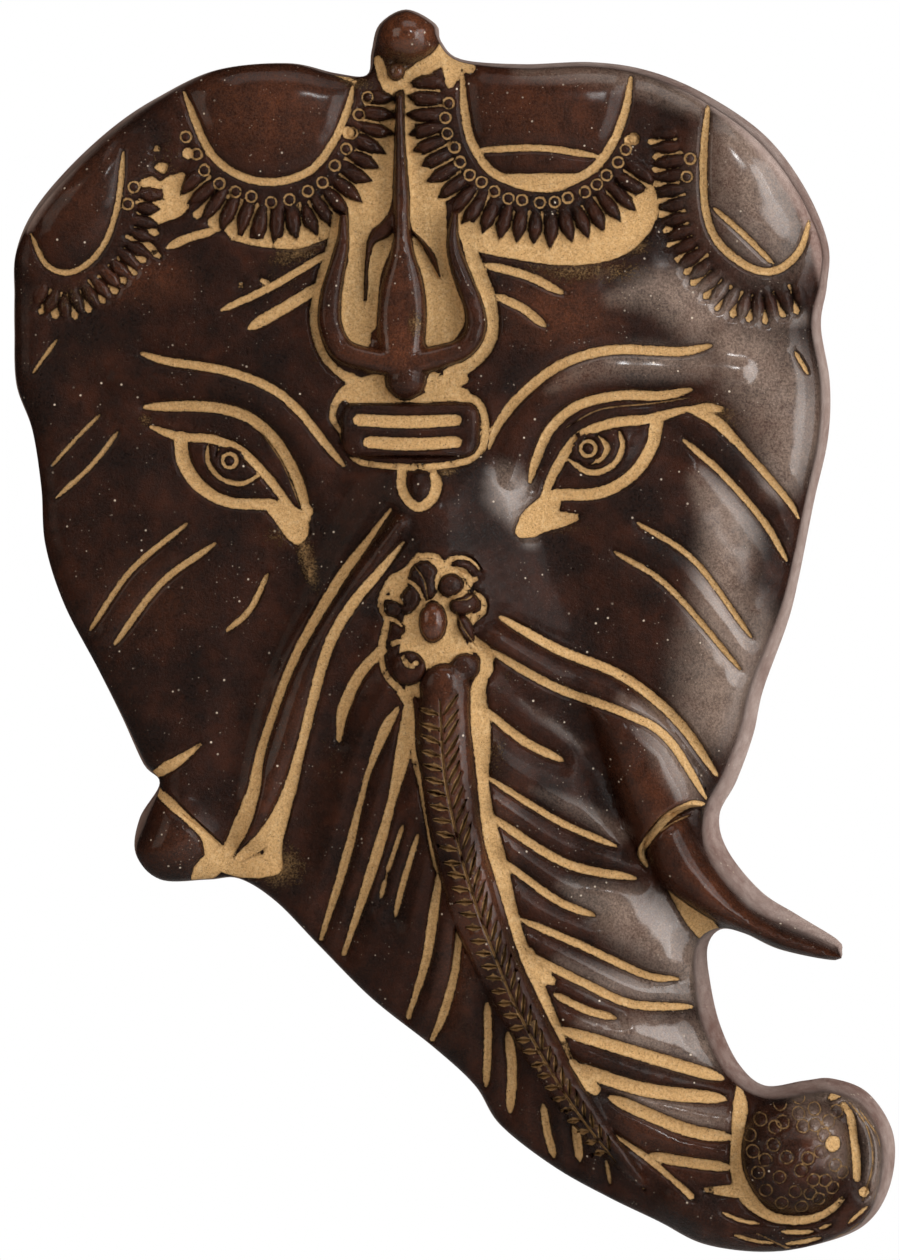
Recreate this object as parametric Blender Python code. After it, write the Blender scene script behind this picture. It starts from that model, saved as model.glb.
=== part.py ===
"""Wall plaque in cast brass: an elephant's face in relief, with a curled trunk and one tusk.

The plaque hangs flat on a wall. Its back is the plane y = 0 and its face looks along -Y.
The face is drawn on a flat sheet, as points (u, v) from the sheet's top left corner, and a
depth is worked out for every spot of the sheet. The origin is the hanging point on the back.
"""

import math

import bmesh
import bpy
import numpy as np
from mathutils import Vector
from mathutils.geometry import delaunay_2d_cdt

# Driving dimensions, in metres
HEIGHT = 0.312
RIM_DEPTH = 0.010
EDGE_ROUND = 0.0035
EDGE_RUN = 0.007
BELLY = 0.0045
BELLY_RUN = 0.045
GROOVE_DEPTH = 0.0013
LOBE_RISE = 0.0042
FAR_LOBE_RISE = 0.0050
FOREHEAD_RISE = 0.0030
BROW_RISE = 0.0016
SOCKET_DEPTH = 0.0016
CHEEK_RISE = 0.0030
TEMPLE_RISE = 0.0020
STUMP_RISE = 0.0055
TRUNK_RISE = 0.0075
TRUNK_ROOT_RISE = 0.0030
SHEATH_RISE = 0.0075
SHEATH_FOLD_RISE = 0.0034
LID_RISE = 0.0009
SCROLL_RISE = 0.0032
MOUTH_RISE = 0.0022
TRIDENT_RISE = 0.0042
TRIDENT_KNOB_RISE = 0.0048
STRAP_RISE = 0.0034
TUSK_RISE = 0.0080
TUSK_LIFT = 0.0070
PLATE_RISE = 0.0018
DROP_RISE = 0.0009
KNOB_RISE = 0.0070
BEAD_RISE = 0.0020
BALL_RISE = 0.0085
EYE_RISE = 0.0016
BUD_RISE = 0.0038
LEAF_RISE = 0.0024
CURL_RISE = 0.0027
PETAL_RISE = 0.0012
HOLLOW_DEPTH = 0.0010
SHEATH_HOLLOW_DEPTH = 0.0018

# Spacing of the mesh, in metres
EDGE_STEP = 0.0046
STROKE_STEP = 0.0062
FILL_STEP = 0.0076
BACK_STEP = 0.0400
EDGE_CLEARANCE = 0.0011
EDGE_RINGS = (0.0018, 0.0050)
RING_CLEARANCE = 0.0016
FILL_CLEARANCE = 0.0040
MERGE_GAP = 0.00012
MM = 0.001

# Spacing of the mesh, as shares
SOUND_RING = 0.9
FILL_GAP = 0.45
BACK_GAP = 0.25
BAR_RAILS = (-1, -0.72, 0, 0.72, 1)
LINE_RAILS = (-1, 0, 1)
DOME_RINGS = (1.0, 0.7)
DOME_SIDES = 10
BIG_DOME_SIDES = 20
BIG_DOME = 30

# Shapes of the swells, ridges, lines and plate, as shares
SWELL_SPREAD = 1.5
RIDGE_SPREAD = 1.2
LINE_TAPER = 0.55
PLATE_SLOPE = 0.5
PLATE_SLANT = 0.6

# The sheet: its height from knob to trunk, and the hanging point on it
SHEET_HEIGHT = 1249
HANG_POINT = (416, 112)
UNIT = HEIGHT / SHEET_HEIGHT

# Outline of the back rim, clockwise, and how wide the rim wall shows there from the front
OUTLINE = [
    (406, 6, 6), (436, 21, 6), (441, 38, 4), (461, 56, 5), (522, 61, 8), (593, 59, 8),
    (651, 68, 9), (708, 92, 11), (766, 132, 13), (806, 184, 12), (830, 241, 10),
    (829, 284, 10), (823, 324, 12), (832, 382, 12), (830, 438, 12), (816, 501, 11),
    (800, 581, 12), (789, 624, 14), (765, 690, 16), (755, 735, 17), (738, 782, 18),
    (721, 816, 18), (729, 851, 23), (762, 892, 21), (799, 916, 15), (838, 940, 8),
    (843, 951, 5), (836, 961, 2), (782, 951, 2), (746, 935, 2), (722, 931, 3),
    (709, 949, 14), (712, 986, 18), (722, 1028, 19), (741, 1067, 17), (767, 1088, 11),
    (806, 1083, 12), (835, 1081, 13), (871, 1096, 15), (896, 1138, 17), (892, 1190, 15),
    (866, 1229, 8), (814, 1249, 4), (761, 1255, 3), (704, 1247, 3), (657, 1223, 2),
    (605, 1198, 2), (552, 1168, 2), (500, 1127, 2), (475, 1088, 2), (434, 1050, 2),
    (372, 1001, 2), (319, 948, 2), (275, 903, 2), (238, 880, 2), (207, 881, 2),
    (159, 881, 2), (134, 855, 3), (138, 819, 9), (158, 784, 2), (142, 765, 4),
    (120, 717, 3), (95, 667, 2), (62, 604, 2), (43, 544, 2), (39, 487, 2), (30, 429, 2),
    (14, 383, 3), (12, 329, 3), (12, 293, 3), (13, 253, 3), (29, 212, 7), (63, 169, 9),
    (109, 126, 8), (155, 95, 6), (215, 67, 4), (287, 60, 4), (335, 70, 5), (366, 72, 3),
    (371, 48, 4), (379, 21, 5),
]

# Broad swells of the face: centre, half sizes and turn on the sheet, and rise in metres
SWELLS = {
    "lobe_left": (262, 112, 92, 70, 0, LOBE_RISE),
    "lobe_right": (552, 112, 92, 68, 0, LOBE_RISE),
    "lobe_far_left": (88, 196, 56, 84, 40, FAR_LOBE_RISE),
    "lobe_far_right": (732, 178, 62, 92, -22, FAR_LOBE_RISE),
    "forehead": (410, 330, 230, 170, 0, FOREHEAD_RISE),
    "brow_ridge_right": (610, 330, 120, 60, -8, BROW_RISE),
    "eye_socket_left": (232, 462, 78, 50, 22, -SOCKET_DEPTH),
    "eye_socket_right": (602, 456, 80, 50, -22, -SOCKET_DEPTH),
    "cheek_left": (160, 610, 100, 120, 20, CHEEK_RISE),
    "cheek_right": (668, 560, 80, 130, -25, CHEEK_RISE),
    "temple_right": (740, 400, 60, 90, -10, TEMPLE_RISE),
    "sheath_end_left": (208, 792, 52, 46, 0, SHEATH_FOLD_RISE),
    "stump_left": (172, 846, 42, 42, 0, STUMP_RISE),
    "trunk_root": (430, 600, 110, 150, 0, TRUNK_ROOT_RISE),
}

# Rounded folds: rise in metres, and points with a width
RIDGES = {
    "trunk": (TRUNK_RISE, [
        (432, 520, 150), (432, 640, 250), (446, 770, 300), (484, 890, 290), (545, 1000, 250),
        (620, 1090, 210), (710, 1150, 170), (800, 1165, 150)]),
    "sheath_root": (SHEATH_FOLD_RISE, [(500, 640, 40), (560, 680, 70), (612, 716, 100)]),
    "sheath_left": (SHEATH_FOLD_RISE, [
        (400, 524, 20), (348, 598, 52), (306, 672, 64), (282, 750, 66), (258, 830, 50)]),
    "lid_left": (LID_RISE, [
        (120, 380, 30), (215, 388, 52), (268, 406, 56), (306, 452, 52), (326, 500, 24)]),
    "lid_right": (LID_RISE, [
        (740, 372, 30), (640, 372, 52), (582, 384, 56), (532, 424, 52), (510, 480, 24)]),
    "scroll_rim": (SCROLL_RISE, [
        (842, 1096, 40), (874, 1124, 44), (882, 1166, 46), (864, 1208, 46), (812, 1234, 46),
        (740, 1232, 50), (676, 1206, 50)]),
    "mouth": (MOUTH_RISE, [(610, 850, 60), (630, 900, 80), (670, 960, 60)]),
}

# Soft hollows: depth in metres, half width on the sheet, and points
HOLLOWS = {
    "beside_sheath": (SHEATH_HOLLOW_DEPTH, 30, [(566, 700), (592, 750), (612, 800), (632, 846)]),
    "nose_left": (HOLLOW_DEPTH, 30, [
        (398, 560), (380, 620), (350, 700), (320, 790), (300, 860)]),
    "cheek_left": (HOLLOW_DEPTH, 40, [
        (330, 500), (300, 570), (262, 650), (236, 740), (214, 800)]),
    "trunk_edge": (HOLLOW_DEPTH, 30, [(640, 866), (664, 900), (690, 940), (694, 1010)]),
}

# Raised bars with a crisp foot: rise in metres, and points with a width
BARS = {
    "trident_middle": (TRIDENT_RISE, [
        (400, 98, 8), (400, 132, 10), (401, 168, 13), (402, 200, 16), (402, 236, 16),
        (403, 262, 27), (403, 290, 43), (402, 320, 50), (402, 350, 44)]),
    "trident_left": (TRIDENT_RISE, [
        (344, 217, 7), (343, 246, 13), (336, 275, 18), (331, 300, 22), (331, 326, 23),
        (343, 351, 24), (370, 361, 24), (400, 366, 26)]),
    "trident_right": (TRIDENT_RISE, [
        (455, 215, 6), (453, 246, 13), (461, 275, 18), (472, 303, 20), (476, 327, 20),
        (466, 348, 21), (440, 358, 24), (408, 366, 26)]),
    "strap": (STRAP_RISE, [
        (445, 688, 50), (446, 760, 52), (457, 840, 50), (478, 920, 47), (509, 990, 41),
        (548, 1060, 35), (590, 1122, 28), (640, 1180, 12)]),
    "tusk": (TUSK_RISE, [
        (668, 838, 50), (682, 865, 54), (701, 885, 47), (719, 902, 38), (740, 918, 29),
        (763, 931, 25), (790, 943, 23), (815, 951, 20), (836, 956, 12)]),
}

# The sheath round the root of the tusk: points with a width, the stretch over which it
# rises, and the round mouth that cuts it off
SHEATH = [(590, 668, 30), (620, 714, 58), (645, 760, 78), (664, 805, 86), (678, 835, 86)]
SHEATH_START = [(580, 652), (657, 769)]
MOUTH_CENTRE = (690, 853)
MOUTH_RADIUS = 44
MOUTH_EDGE = 5
MOUTH_SIDES = 18

# The tusk's line behind the face, how far it clears the wall, and points of the back there
TUSK_LINE = [(716, 888), (838, 953)]
TUSK_HALF_WIDTH = 40
TUSK_CURL = 1.5
TUSK_ROOT = [(700, 866), (706, 890), (700, 912)]

# Flat raised plate between the brows
PLATE_CENTRE = (410, 431)
PLATE_SIZE = (137, 54)
PLATE_CORNER = 14
PLATE_INSET = 5

# Round domes: centre, half sizes and turn on the sheet, and rise in metres
DOMES = {
    "knob": (408, 33, 33, 30, 0, KNOB_RISE),
    "crest_bead": (396, 72, 9, 9, 0, BEAD_RISE),
    "trident_knob": (406, 380, 21, 21, 0, TRIDENT_KNOB_RISE),
    "drop": (419, 484, 8.5, 14, 0, DROP_RISE),
    "ball": (794, 1152, 54, 59, 0, BALL_RISE),
    "eye_left": (234, 468, 54, 26, 26, EYE_RISE),
    "eye_right": (600, 460, 58, 28, -26, EYE_RISE),
    "bud_centre": (433, 628, 15, 20, 0, BUD_RISE),
    "bud_top": (426, 580, 14, 20, 10, LEAF_RISE),
    "bud_top_right": (452, 585, 12, 12, -20, LEAF_RISE),
    "bud_right": (466, 604, 14, 12, 10, BUD_RISE),
    "bud_side_right": (464, 629, 8, 18, -24, BEAD_RISE),
    "bud_top_left": (411, 597, 12, 15, 30, LEAF_RISE),
    "bud_left": (394, 608, 9, 8, 0, BEAD_RISE),
    "bud_low_left": (397, 630, 9, 8, 0, BEAD_RISE),
    "curl_left": (409, 668, 17, 18, 0, CURL_RISE),
    "curl_right": (465, 667, 16, 17, 0, CURL_RISE),
}

# Carved lines: width and points; a width of 0 means that the points have their own
LINES = {
    "lobe_left": (8, [
        (184, 92), (204, 141), (222, 165), (250, 180), (281, 182), (312, 170), (334, 142),
        (348, 108), (353, 86)]),
    "lobe_far_left": (6, [
        (124, 152), (119, 201), (107, 240), (88, 264), (66, 273), (46, 264), (31, 234)]),
    "lobe_right": (9, [
        (462, 74), (465, 113), (473, 145), (496, 175), (545, 189), (588, 173), (610, 148),
        (625, 112), (631, 77)]),
    "lobe_right_chord": (7, [(478, 151), (540, 149), (598, 157)]),
    "lobe_far_right": (8, [
        (708, 104), (703, 158), (705, 210), (718, 243), (750, 268), (778, 270), (800, 250),
        (810, 220)]),
    "lobe_far_right_chord": (6, [(713, 209), (744, 236), (773, 264)]),
    "brow_left": (9, [
        (142, 354), (170, 362), (225, 371), (270, 388), (300, 412), (327, 446), (344, 466)]),
    "brow_right": (10, [
        (710, 346), (680, 352), (610, 351), (560, 366), (520, 397), (497, 427), (489, 448)]),
    "lid_left": (11, [
        (145, 407), (207, 407), (247, 417), (275, 440), (297, 478), (309, 520)]),
    "lid_right": (10, [
        (691, 390), (660, 396), (620, 396), (578, 406), (550, 430), (536, 460), (530, 482)]),
    "eye_upper_left": (9, [
        (151, 427), (180, 437), (210, 439), (240, 450), (265, 474), (285, 500), (300, 520)]),
    "eye_upper_right": (10, [
        (690, 408), (650, 419), (610, 424), (578, 438), (558, 465), (542, 500)]),
    "eye_lower_left": (0, [
        (181, 438, 14), (184, 462, 14), (200, 486, 13), (228, 502, 11), (272, 505, 12)]),
    "eye_lower_right": (0, [
        (656, 424, 14), (651, 448, 13), (632, 475, 12), (600, 493, 12), (556, 495, 12)]),
    "forehead_left_1": (8, [(222, 311), (273, 287), (330, 253)]),
    "forehead_left_2": (9, [(250, 329), (298, 301), (321, 286)]),
    "forehead_right_1": (9, [(485, 266), (525, 276), (562, 294)]),
    "forehead_right_2": (9, [(497, 297), (522, 309), (545, 327)]),
    "temple_left_1": (4, [(57, 340), (43, 359), (33, 373)]),
    "temple_left_2": (4, [(100, 415), (77, 438), (52, 466)]),
    "temple_left_3": (5, [(118, 432), (92, 465), (56, 498)]),
    "cheek_left_1": (6, [(187, 524), (132, 570), (90, 630)]),
    "cheek_left_2": (7, [(215, 544), (161, 584), (115, 644)]),
    "cheek_left_3": (6, [(268, 574), (250, 610), (227, 631)]),
    "cheek_right_1": (0, [
        (694, 412, 6), (716, 422, 12), (743, 449, 8), (786, 498, 7), (799, 518, 3)]),
    "cheek_right_2": (7, [(683, 440), (723, 475), (764, 522), (787, 561)]),
    "cheek_right_3": (6, [(637, 523), (694, 561), (751, 637)]),
    "cheek_right_4": (6, [(614, 552), (668, 587), (740, 669)]),
    "temple_right": (5, [(795, 352), (808, 374)]),
    "sheath_right_1": (10, [
        (500, 617), (559, 650), (622, 676), (676, 719), (717, 775)]),
    "sheath_right_2": (9, [
        (486, 648), (553, 686), (622, 712), (666, 737), (706, 798)]),
    "socket_right": (8, [
        (704, 804), (690, 804), (668, 816), (650, 836), (641, 852), (647, 866)]),
    "sheath_left_1": (0, [
        (391, 510, 3), (365, 545, 8), (337, 584, 11), (294, 660, 9), (263, 745, 9),
        (254, 790, 13), (242, 824, 17), (228, 852, 12)]),
    "sheath_left_2": (0, [
        (404, 543, 3), (380, 572, 9), (352, 606, 11), (327, 652, 11), (302, 745, 10),
        (288, 795, 14), (270, 832, 18), (240, 858, 10)]),
    "side_left_1": (0, [(382, 650, 11), (360, 674, 11), (344, 708, 12), (339, 740, 5)]),
    "side_left_2": (0, [
        (398, 708, 5), (386, 728, 11), (370, 768, 6), (361, 800, 6), (345, 862, 9),
        (321, 939, 5)]),
    "side_left_3": (0, [
        (409, 700, 8), (403, 752, 15), (392, 800, 9), (375, 860, 11), (344, 954, 5)]),
    "side_left_4": (5, [(403, 825), (394, 852), (387, 872)]),
    "side_left_45": (5, [(386, 878), (381, 897)]),
    "side_left_5": (6, [(418, 834), (404, 880), (395, 916)]),
    "side_left_6": (0, [(441, 864, 5), (434, 910, 10), (426, 960, 9), (408, 1018, 5)]),
    "side_left_7": (0, [(460, 922, 6), (455, 970, 8), (444, 1012, 9), (432, 1040, 5)]),
    "side_left_8": (8, [(487, 1002), (488, 1037), (486, 1086)]),
    "side_left_9": (10, [(508, 1032), (512, 1068), (510, 1111)]),
    "side_left_10": (8, [(543, 1104), (547, 1130), (554, 1157)]),
    "side_left_11": (9, [(575, 1122), (577, 1138), (580, 1160)]),
    "side_left_12": (4, [(606, 1160), (610, 1183)]),
    "rib_1": (9, [(483, 708), (523, 740), (562, 760)]),
    "rib_2": (7, [(488, 777), (559, 821), (616, 846)]),
    "rib_3": (9, [(490, 815), (564, 862), (635, 878)]),
    "rib_4": (8, [(500, 858), (556, 899), (594, 915)]),
    "rib_5": (8, [(520, 918), (582, 945), (644, 974), (678, 979)]),
    "rib_6": (9, [(525, 952), (582, 981), (631, 1003), (692, 1007)]),
    "rib_7": (8, [(554, 993), (587, 1009), (615, 1017)]),
    "rib_8": (13, [(560, 1028), (644, 1054), (722, 1078)]),
    "rib_9": (14, [(570, 1064), (644, 1088), (724, 1098)]),
    "rib_10": (13, [(610, 1096), (683, 1127), (729, 1136)]),
    "rib_11": (11, [(650, 1154), (683, 1160), (729, 1166)]),
    "plate_bar_upper": (0, [(359, 421, 12), (408, 423, 13), (456, 421, 12)]),
    "plate_bar_lower": (0, [(369, 443, 12), (410, 445, 13), (456, 443, 12)]),
    "drop_line": (0, [
        (402, 470, 10), (402, 488, 10), (409, 502, 10), (421, 508, 10), (433, 498, 11),
        (437, 485, 11), (434, 476, 9)]),
    "strap_end": (0, [(612, 1132, 3), (646, 1156, 7), (670, 1176, 6), (691, 1195, 7)]),
    "scroll_low_1": (4, [(722, 1211), (740, 1219), (758, 1222)]),
    "scroll_low_2": (5, [(781, 1230), (798, 1231), (812, 1230)]),
    "scroll_low_3": (4, [(819, 1227), (830, 1223)]),
    "scroll_low_4": (4, [(848, 1222), (858, 1213), (867, 1206)]),
    "scroll_low_5": (4, [(734, 1234), (755, 1240), (773, 1242)]),
    "scroll_low_6": (5, [(786, 1243), (803, 1241), (820, 1237)]),
}

# Carved grounds between the raised forms: points with a width
GROUNDS = {
    "garland_right": [
        (462, 226, 14), (476, 238, 26), (520, 246, 30), (560, 247, 32), (600, 238, 36),
        (628, 222, 40), (648, 204, 28), (652, 190, 8)],
    "crest": [
        (378, 60, 10), (388, 84, 12), (410, 78, 16), (432, 62, 18), (452, 54, 16),
        (470, 68, 12)],
    "middle_left": [
        (388, 92, 14), (387, 125, 13), (385, 150, 18), (377, 182, 32), (370, 204, 42),
        (362, 222, 26), (358, 242, 18)],
    "middle_right": [
        (409, 92, 9), (410, 125, 10), (411, 150, 15), (418, 175, 28), (426, 200, 38),
        (429, 225, 36), (431, 250, 34), (436, 275, 34), (442, 300, 36), (446, 320, 38),
        (437, 340, 24)],
    "prong_left": [
        (358, 240, 18), (357, 262, 18), (354, 285, 21), (353, 310, 24), (357, 328, 28),
        (363, 343, 16)],
    "outside_left": [
        (338, 220, 12), (330, 250, 8), (320, 285, 9), (314, 320, 8), (322, 352, 8),
        (338, 372, 8), (352, 380, 12)],
    "outside_right": [
        (462, 222, 10), (472, 256, 14), (486, 292, 15), (493, 322, 12), (488, 346, 12),
        (470, 366, 13), (450, 374, 14)],
    "plate_left": [
        (384, 384, 22), (364, 388, 20), (348, 392, 14), (337, 402, 8), (333, 418, 7),
        (341, 433, 3)],
    "plate_top": [(352, 396, 16), (384, 398, 14), (405, 404, 5), (430, 398, 12),
                  (450, 394, 16), (464, 396, 14)],
    "plate_right": [
        (464, 397, 8), (478, 403, 8), (485, 420, 8), (484, 444, 8), (474, 457, 8),
        (458, 464, 7), (420, 468, 7), (380, 466, 6), (356, 460, 6), (343, 442, 4)],
    "eye_corner_left": [(270, 506, 12), (288, 517, 26), (297, 530, 26), (297, 542, 6)],
    "eye_corner_right": [
        (556, 490, 14), (550, 503, 22), (536, 520, 30), (522, 531, 15)],
    "flower_left": [
        (418, 556, 6), (408, 570, 8), (392, 580, 8), (384, 592, 6), (381, 606, 6),
        (387, 620, 6), (384, 636, 8), (381, 652, 6), (386, 674, 6), (400, 690, 8),
        (408, 704, 8)],
    "flower_right": [
        (474, 592, 3), (483, 600, 6), (483, 612, 6), (472, 620, 8), (468, 632, 7),
        (476, 644, 12), (486, 654, 14), (487, 670, 12)],
    "band_right": [
        (488, 655, 12), (484, 672, 12), (478, 692, 16), (480, 720, 20), (482, 750, 17),
        (483, 780, 12), (486, 808, 13), (492, 838, 17), (499, 862, 17), (506, 890, 14),
        (514, 920, 12), (525, 954, 12), (541, 990, 11), (557, 1026, 8), (570, 1056, 4)],
    "band_left": [
        (408, 690, 7), (411, 718, 8), (413, 748, 6), (422, 790, 5), (430, 832, 6),
        (438, 862, 10), (448, 888, 7), (458, 912, 8), (466, 944, 5), (482, 976, 6)],
    "stump": [(156, 790, 8), (170, 802, 10), (190, 820, 8), (206, 836, 10), (214, 850, 20)],
    "sheath_foot": [(222, 862, 20), (240, 870, 16), (262, 866, 24), (274, 866, 18)],
    "ball_left": [
        (738, 1084, 3), (740, 1104, 15), (737, 1130, 13), (735, 1160, 12), (741, 1186, 16),
        (753, 1203, 14), (770, 1215, 10), (795, 1219, 9), (816, 1216, 8), (832, 1207, 7),
        (842, 1197, 5)],
    "ball_right": [
        (843, 1104, 6), (850, 1116, 8), (853, 1137, 8), (856, 1160, 9), (856, 1177, 8)],
}

# Garlands under the lobes: number of petals, petal length, and the row of petals
GARLANDS = {
    "left": (18, 32, [
        (381, 98), (377, 130), (366, 158), (350, 188), (330, 208), (304, 222), (270, 227),
        (238, 219), (212, 206), (192, 184)]),
    "far_left": (13, 24, [
        (40, 296), (62, 306), (86, 298), (106, 284), (122, 268), (136, 250), (146, 224),
        (150, 196)]),
    "right": (22, 32, [
        (425, 82), (424, 128), (432, 152), (448, 182), (468, 206), (498, 222), (532, 229),
        (568, 228), (600, 215), (624, 196), (640, 172)]),
    "far_right": (19, 26, [
        (664, 134), (668, 172), (673, 214), (684, 246), (702, 274), (726, 298), (758, 308),
        (800, 297)]),
}
PETAL_WIDTH = 13.5
PETAL_SPACING = 5


def place(points):
    """Metres (x, z) of points on the sheet; a width that follows u and v is scaled."""
    rows = np.array(points, dtype=float)
    rows[:, 0] -= HANG_POINT[0]
    rows[:, 1] = HANG_POINT[1] - rows[:, 1]
    return rows * UNIT


def smooth(rows, step, closed=False):
    """Points about one step apart on the smooth curve through the rows."""
    count = len(rows)
    spans = count if closed else count - 1
    curve = []
    for index in range(spans):
        if closed:
            before, start, end, after = (rows[(index + k) % count] for k in (-1, 0, 1, 2))
        else:
            start, end = rows[index], rows[index + 1]
            before = rows[index - 1] if index else 2 * start - end
            after = rows[index + 2] if index + 2 < count else 2 * end - start
        parts = max(1, round(np.linalg.norm((end - start)[:2]) / step))
        for k in range(parts):
            t = k / parts
            curve.append(0.5 * (
                2 * start + (end - before) * t
                + (2 * before - 5 * start + 4 * end - after) * t * t
                + (3 * start - before - 3 * end + after) * t ** 3))
    if not closed:
        curve.append(rows[-1])
    return np.array(curve)


def sides(curve, closed=False):
    """Unit normals, to the left of the way along the curve."""
    if closed:
        along = np.roll(curve, -1, axis=0) - np.roll(curve, 1, axis=0)
    else:
        along = np.gradient(curve, axis=0)
    along = along[:, :2] / np.linalg.norm(along[:, :2], axis=1)[:, None]
    return np.stack([-along[:, 1], along[:, 0]], axis=1)


def reach(spots, curve, closed=False):
    """Distance of each spot from the curve, divided by the half width there if it has one."""
    ends = np.roll(curve, -1, axis=0) if closed else curve[1:]
    starts = curve if closed else curve[:-1]
    nearest = np.full(len(spots), 1e9)
    for start, end in zip(starts, ends):
        way = (end - start)[:2]
        t = np.clip((spots - start[:2]) @ way / max(way @ way, 1e-18), 0, 1)
        gap = np.linalg.norm(spots - start[:2] - t[:, None] * way, axis=1)
        if len(start) > 2:
            gap = gap / (0.5 * (start[2] + (end[2] - start[2]) * t))
        nearest = np.minimum(nearest, gap)
    return nearest


def turned(spots, centre, half_sizes, turn):
    """Spots in the frame of an ellipse, where its edge is at radius 1."""
    middle = place([centre])[0]
    angle = math.radians(-turn)
    axes = np.array([[math.cos(angle), -math.sin(angle)], [math.sin(angle), math.cos(angle)]])
    return (spots - middle) @ axes / (np.array(half_sizes) * UNIT)


def hump(q):
    """Soft swell that fades out at q = 1."""
    return np.where(q < 1, (1 - np.minimum(q, 1) ** 2) ** 2, 0)


def dome(q):
    """Round top with a steep foot at q = 1."""
    return np.sqrt(np.maximum(0, 1 - q * q))


def fade(value, start, end):
    """Smooth way from 0 at the start to 1 at the end."""
    t = np.clip((value - start) / (end - start), 0, 1)
    return t * t * (3 - 2 * t)


def share_along(spots, start, end):
    """How far each spot has come on the way from the start to the end, from 0 to 1."""
    way = end - start
    return np.clip((spots - start) @ way / (way @ way), 0, 1)


def tapered(points, width, step):
    """Curve of a carved line, narrower towards both ends unless its points have widths."""
    curve = smooth(place(points), step)
    if curve.shape[1] > 2:
        return curve
    t = np.linspace(-1, 1, len(curve))
    widths = width * UNIT * (1 - LINE_TAPER * t ** 6)
    return np.column_stack([curve, widths])


def carved_curves():
    """Curves of all the carved lines and grounds, with their widths."""
    curves = [tapered(points, width, STROKE_STEP) for width, points in LINES.values()]
    return curves + [smooth(place(points), STROKE_STEP) for points in GROUNDS.values()]


def edge_curves():
    """Front edge and back rim of the outline, point for point, in metres."""
    curve = smooth(place(OUTLINE), EDGE_STEP, closed=True)
    rim = curve[:, :2]
    outward = sides(rim, closed=True)
    return rim - outward * curve[:, 2:3], rim


def petals():
    """Centre, direction and length of each petal of the garlands, in metres."""
    found = []
    for count, length, points in GARLANDS.values():
        curve = smooth(place(points), PETAL_SPACING * UNIT)
        outward = sides(curve)
        for index in np.linspace(0, len(curve) - 1, int(round(count))).round().astype(int):
            found.append((curve[index], outward[index], length * UNIT))
    return found


def petal_radius(spots, centre, direction, length):
    """Radius of each spot in a petal's own frame, where its edge is at 1."""
    offset = spots - centre
    across = np.array([-direction[1], direction[0]])
    long_part = offset @ direction / (0.5 * length)
    short_part = offset @ across / (0.5 * PETAL_WIDTH * UNIT)
    return np.hypot(long_part, short_part)


def plate_radius(spots):
    """Reach of each spot on the plate with round corners, where its edge is at 1."""
    middle = place([PLATE_CENTRE])[0]
    corner = PLATE_CORNER * UNIT
    inner = np.array(PLATE_SIZE) * UNIT / 2 - corner
    beyond = np.maximum(np.abs(spots - middle) - inner, 0)
    return np.linalg.norm(beyond, axis=1) / corner


def sheath(spots):
    """Rise of the sheath round the tusk's root, cut off by its mouth."""
    start, end = place(SHEATH_START)
    rising = fade(share_along(spots, start, end), 0, 1)
    from_mouth = np.linalg.norm(spots - place([MOUTH_CENTRE])[0], axis=1) / UNIT
    beyond = fade(from_mouth, MOUTH_RADIUS, MOUTH_RADIUS + MOUTH_EDGE)
    return SHEATH_RISE * dome(reach(spots, smooth(place(SHEATH), STROKE_STEP))) * rising * beyond


def broad_form(spots, front_edge):
    """Depth of the rounded edge, belly, swells, folds and hollows, in metres."""
    inside = reach(spots, front_edge, closed=True)
    lip = 1 - np.minimum(inside / EDGE_RUN, 1)
    depth = RIM_DEPTH + EDGE_ROUND * np.sqrt(1 - lip * lip)
    depth += BELLY * (1 - np.exp(-(inside / BELLY_RUN) ** 2))
    for u, v, half_u, half_v, turn, rise in SWELLS.values():
        half_sizes = (SWELL_SPREAD * half_u, SWELL_SPREAD * half_v)
        frame = turned(spots, (u, v), half_sizes, turn)
        depth += rise * hump(np.linalg.norm(frame, axis=1))
    for rise, points in RIDGES.values():
        depth += rise * hump(reach(spots, smooth(place(points), STROKE_STEP)) / RIDGE_SPREAD)
    for deep, wide, points in HOLLOWS.values():
        depth -= deep * hump(reach(spots, smooth(place(points), STROKE_STEP)) / (wide * UNIT))
    return depth


def relief(spots, front_edge):
    """Depth of the face in front of the wall at each spot (x, z), in metres."""
    depth = broad_form(spots, front_edge)
    carved = np.zeros(len(spots))
    for curve in carved_curves():
        carved = np.maximum(carved, hump(reach(spots, curve)))
    raised = PLATE_RISE * fade(1 - plate_radius(spots), 0, PLATE_SLOPE)
    raised = np.maximum(raised, sheath(spots))
    for rise, points in BARS.values():
        bar = rise * dome(reach(spots, smooth(place(points), STROKE_STEP)))
        raised = np.maximum(raised, bar)
    for name, (u, v, half_u, half_v, turn, rise) in DOMES.items():
        frame = turned(spots, (u, v), (half_u, half_v), turn)
        profile = hump if name.startswith("eye") else dome
        raised = np.maximum(raised, rise * profile(np.linalg.norm(frame, axis=1)))
    for centre, direction, length in petals():
        petal = PETAL_RISE * dome(petal_radius(spots, centre, direction, length))
        raised = np.maximum(raised, petal)
    return depth - GROOVE_DEPTH * carved + raised


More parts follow.
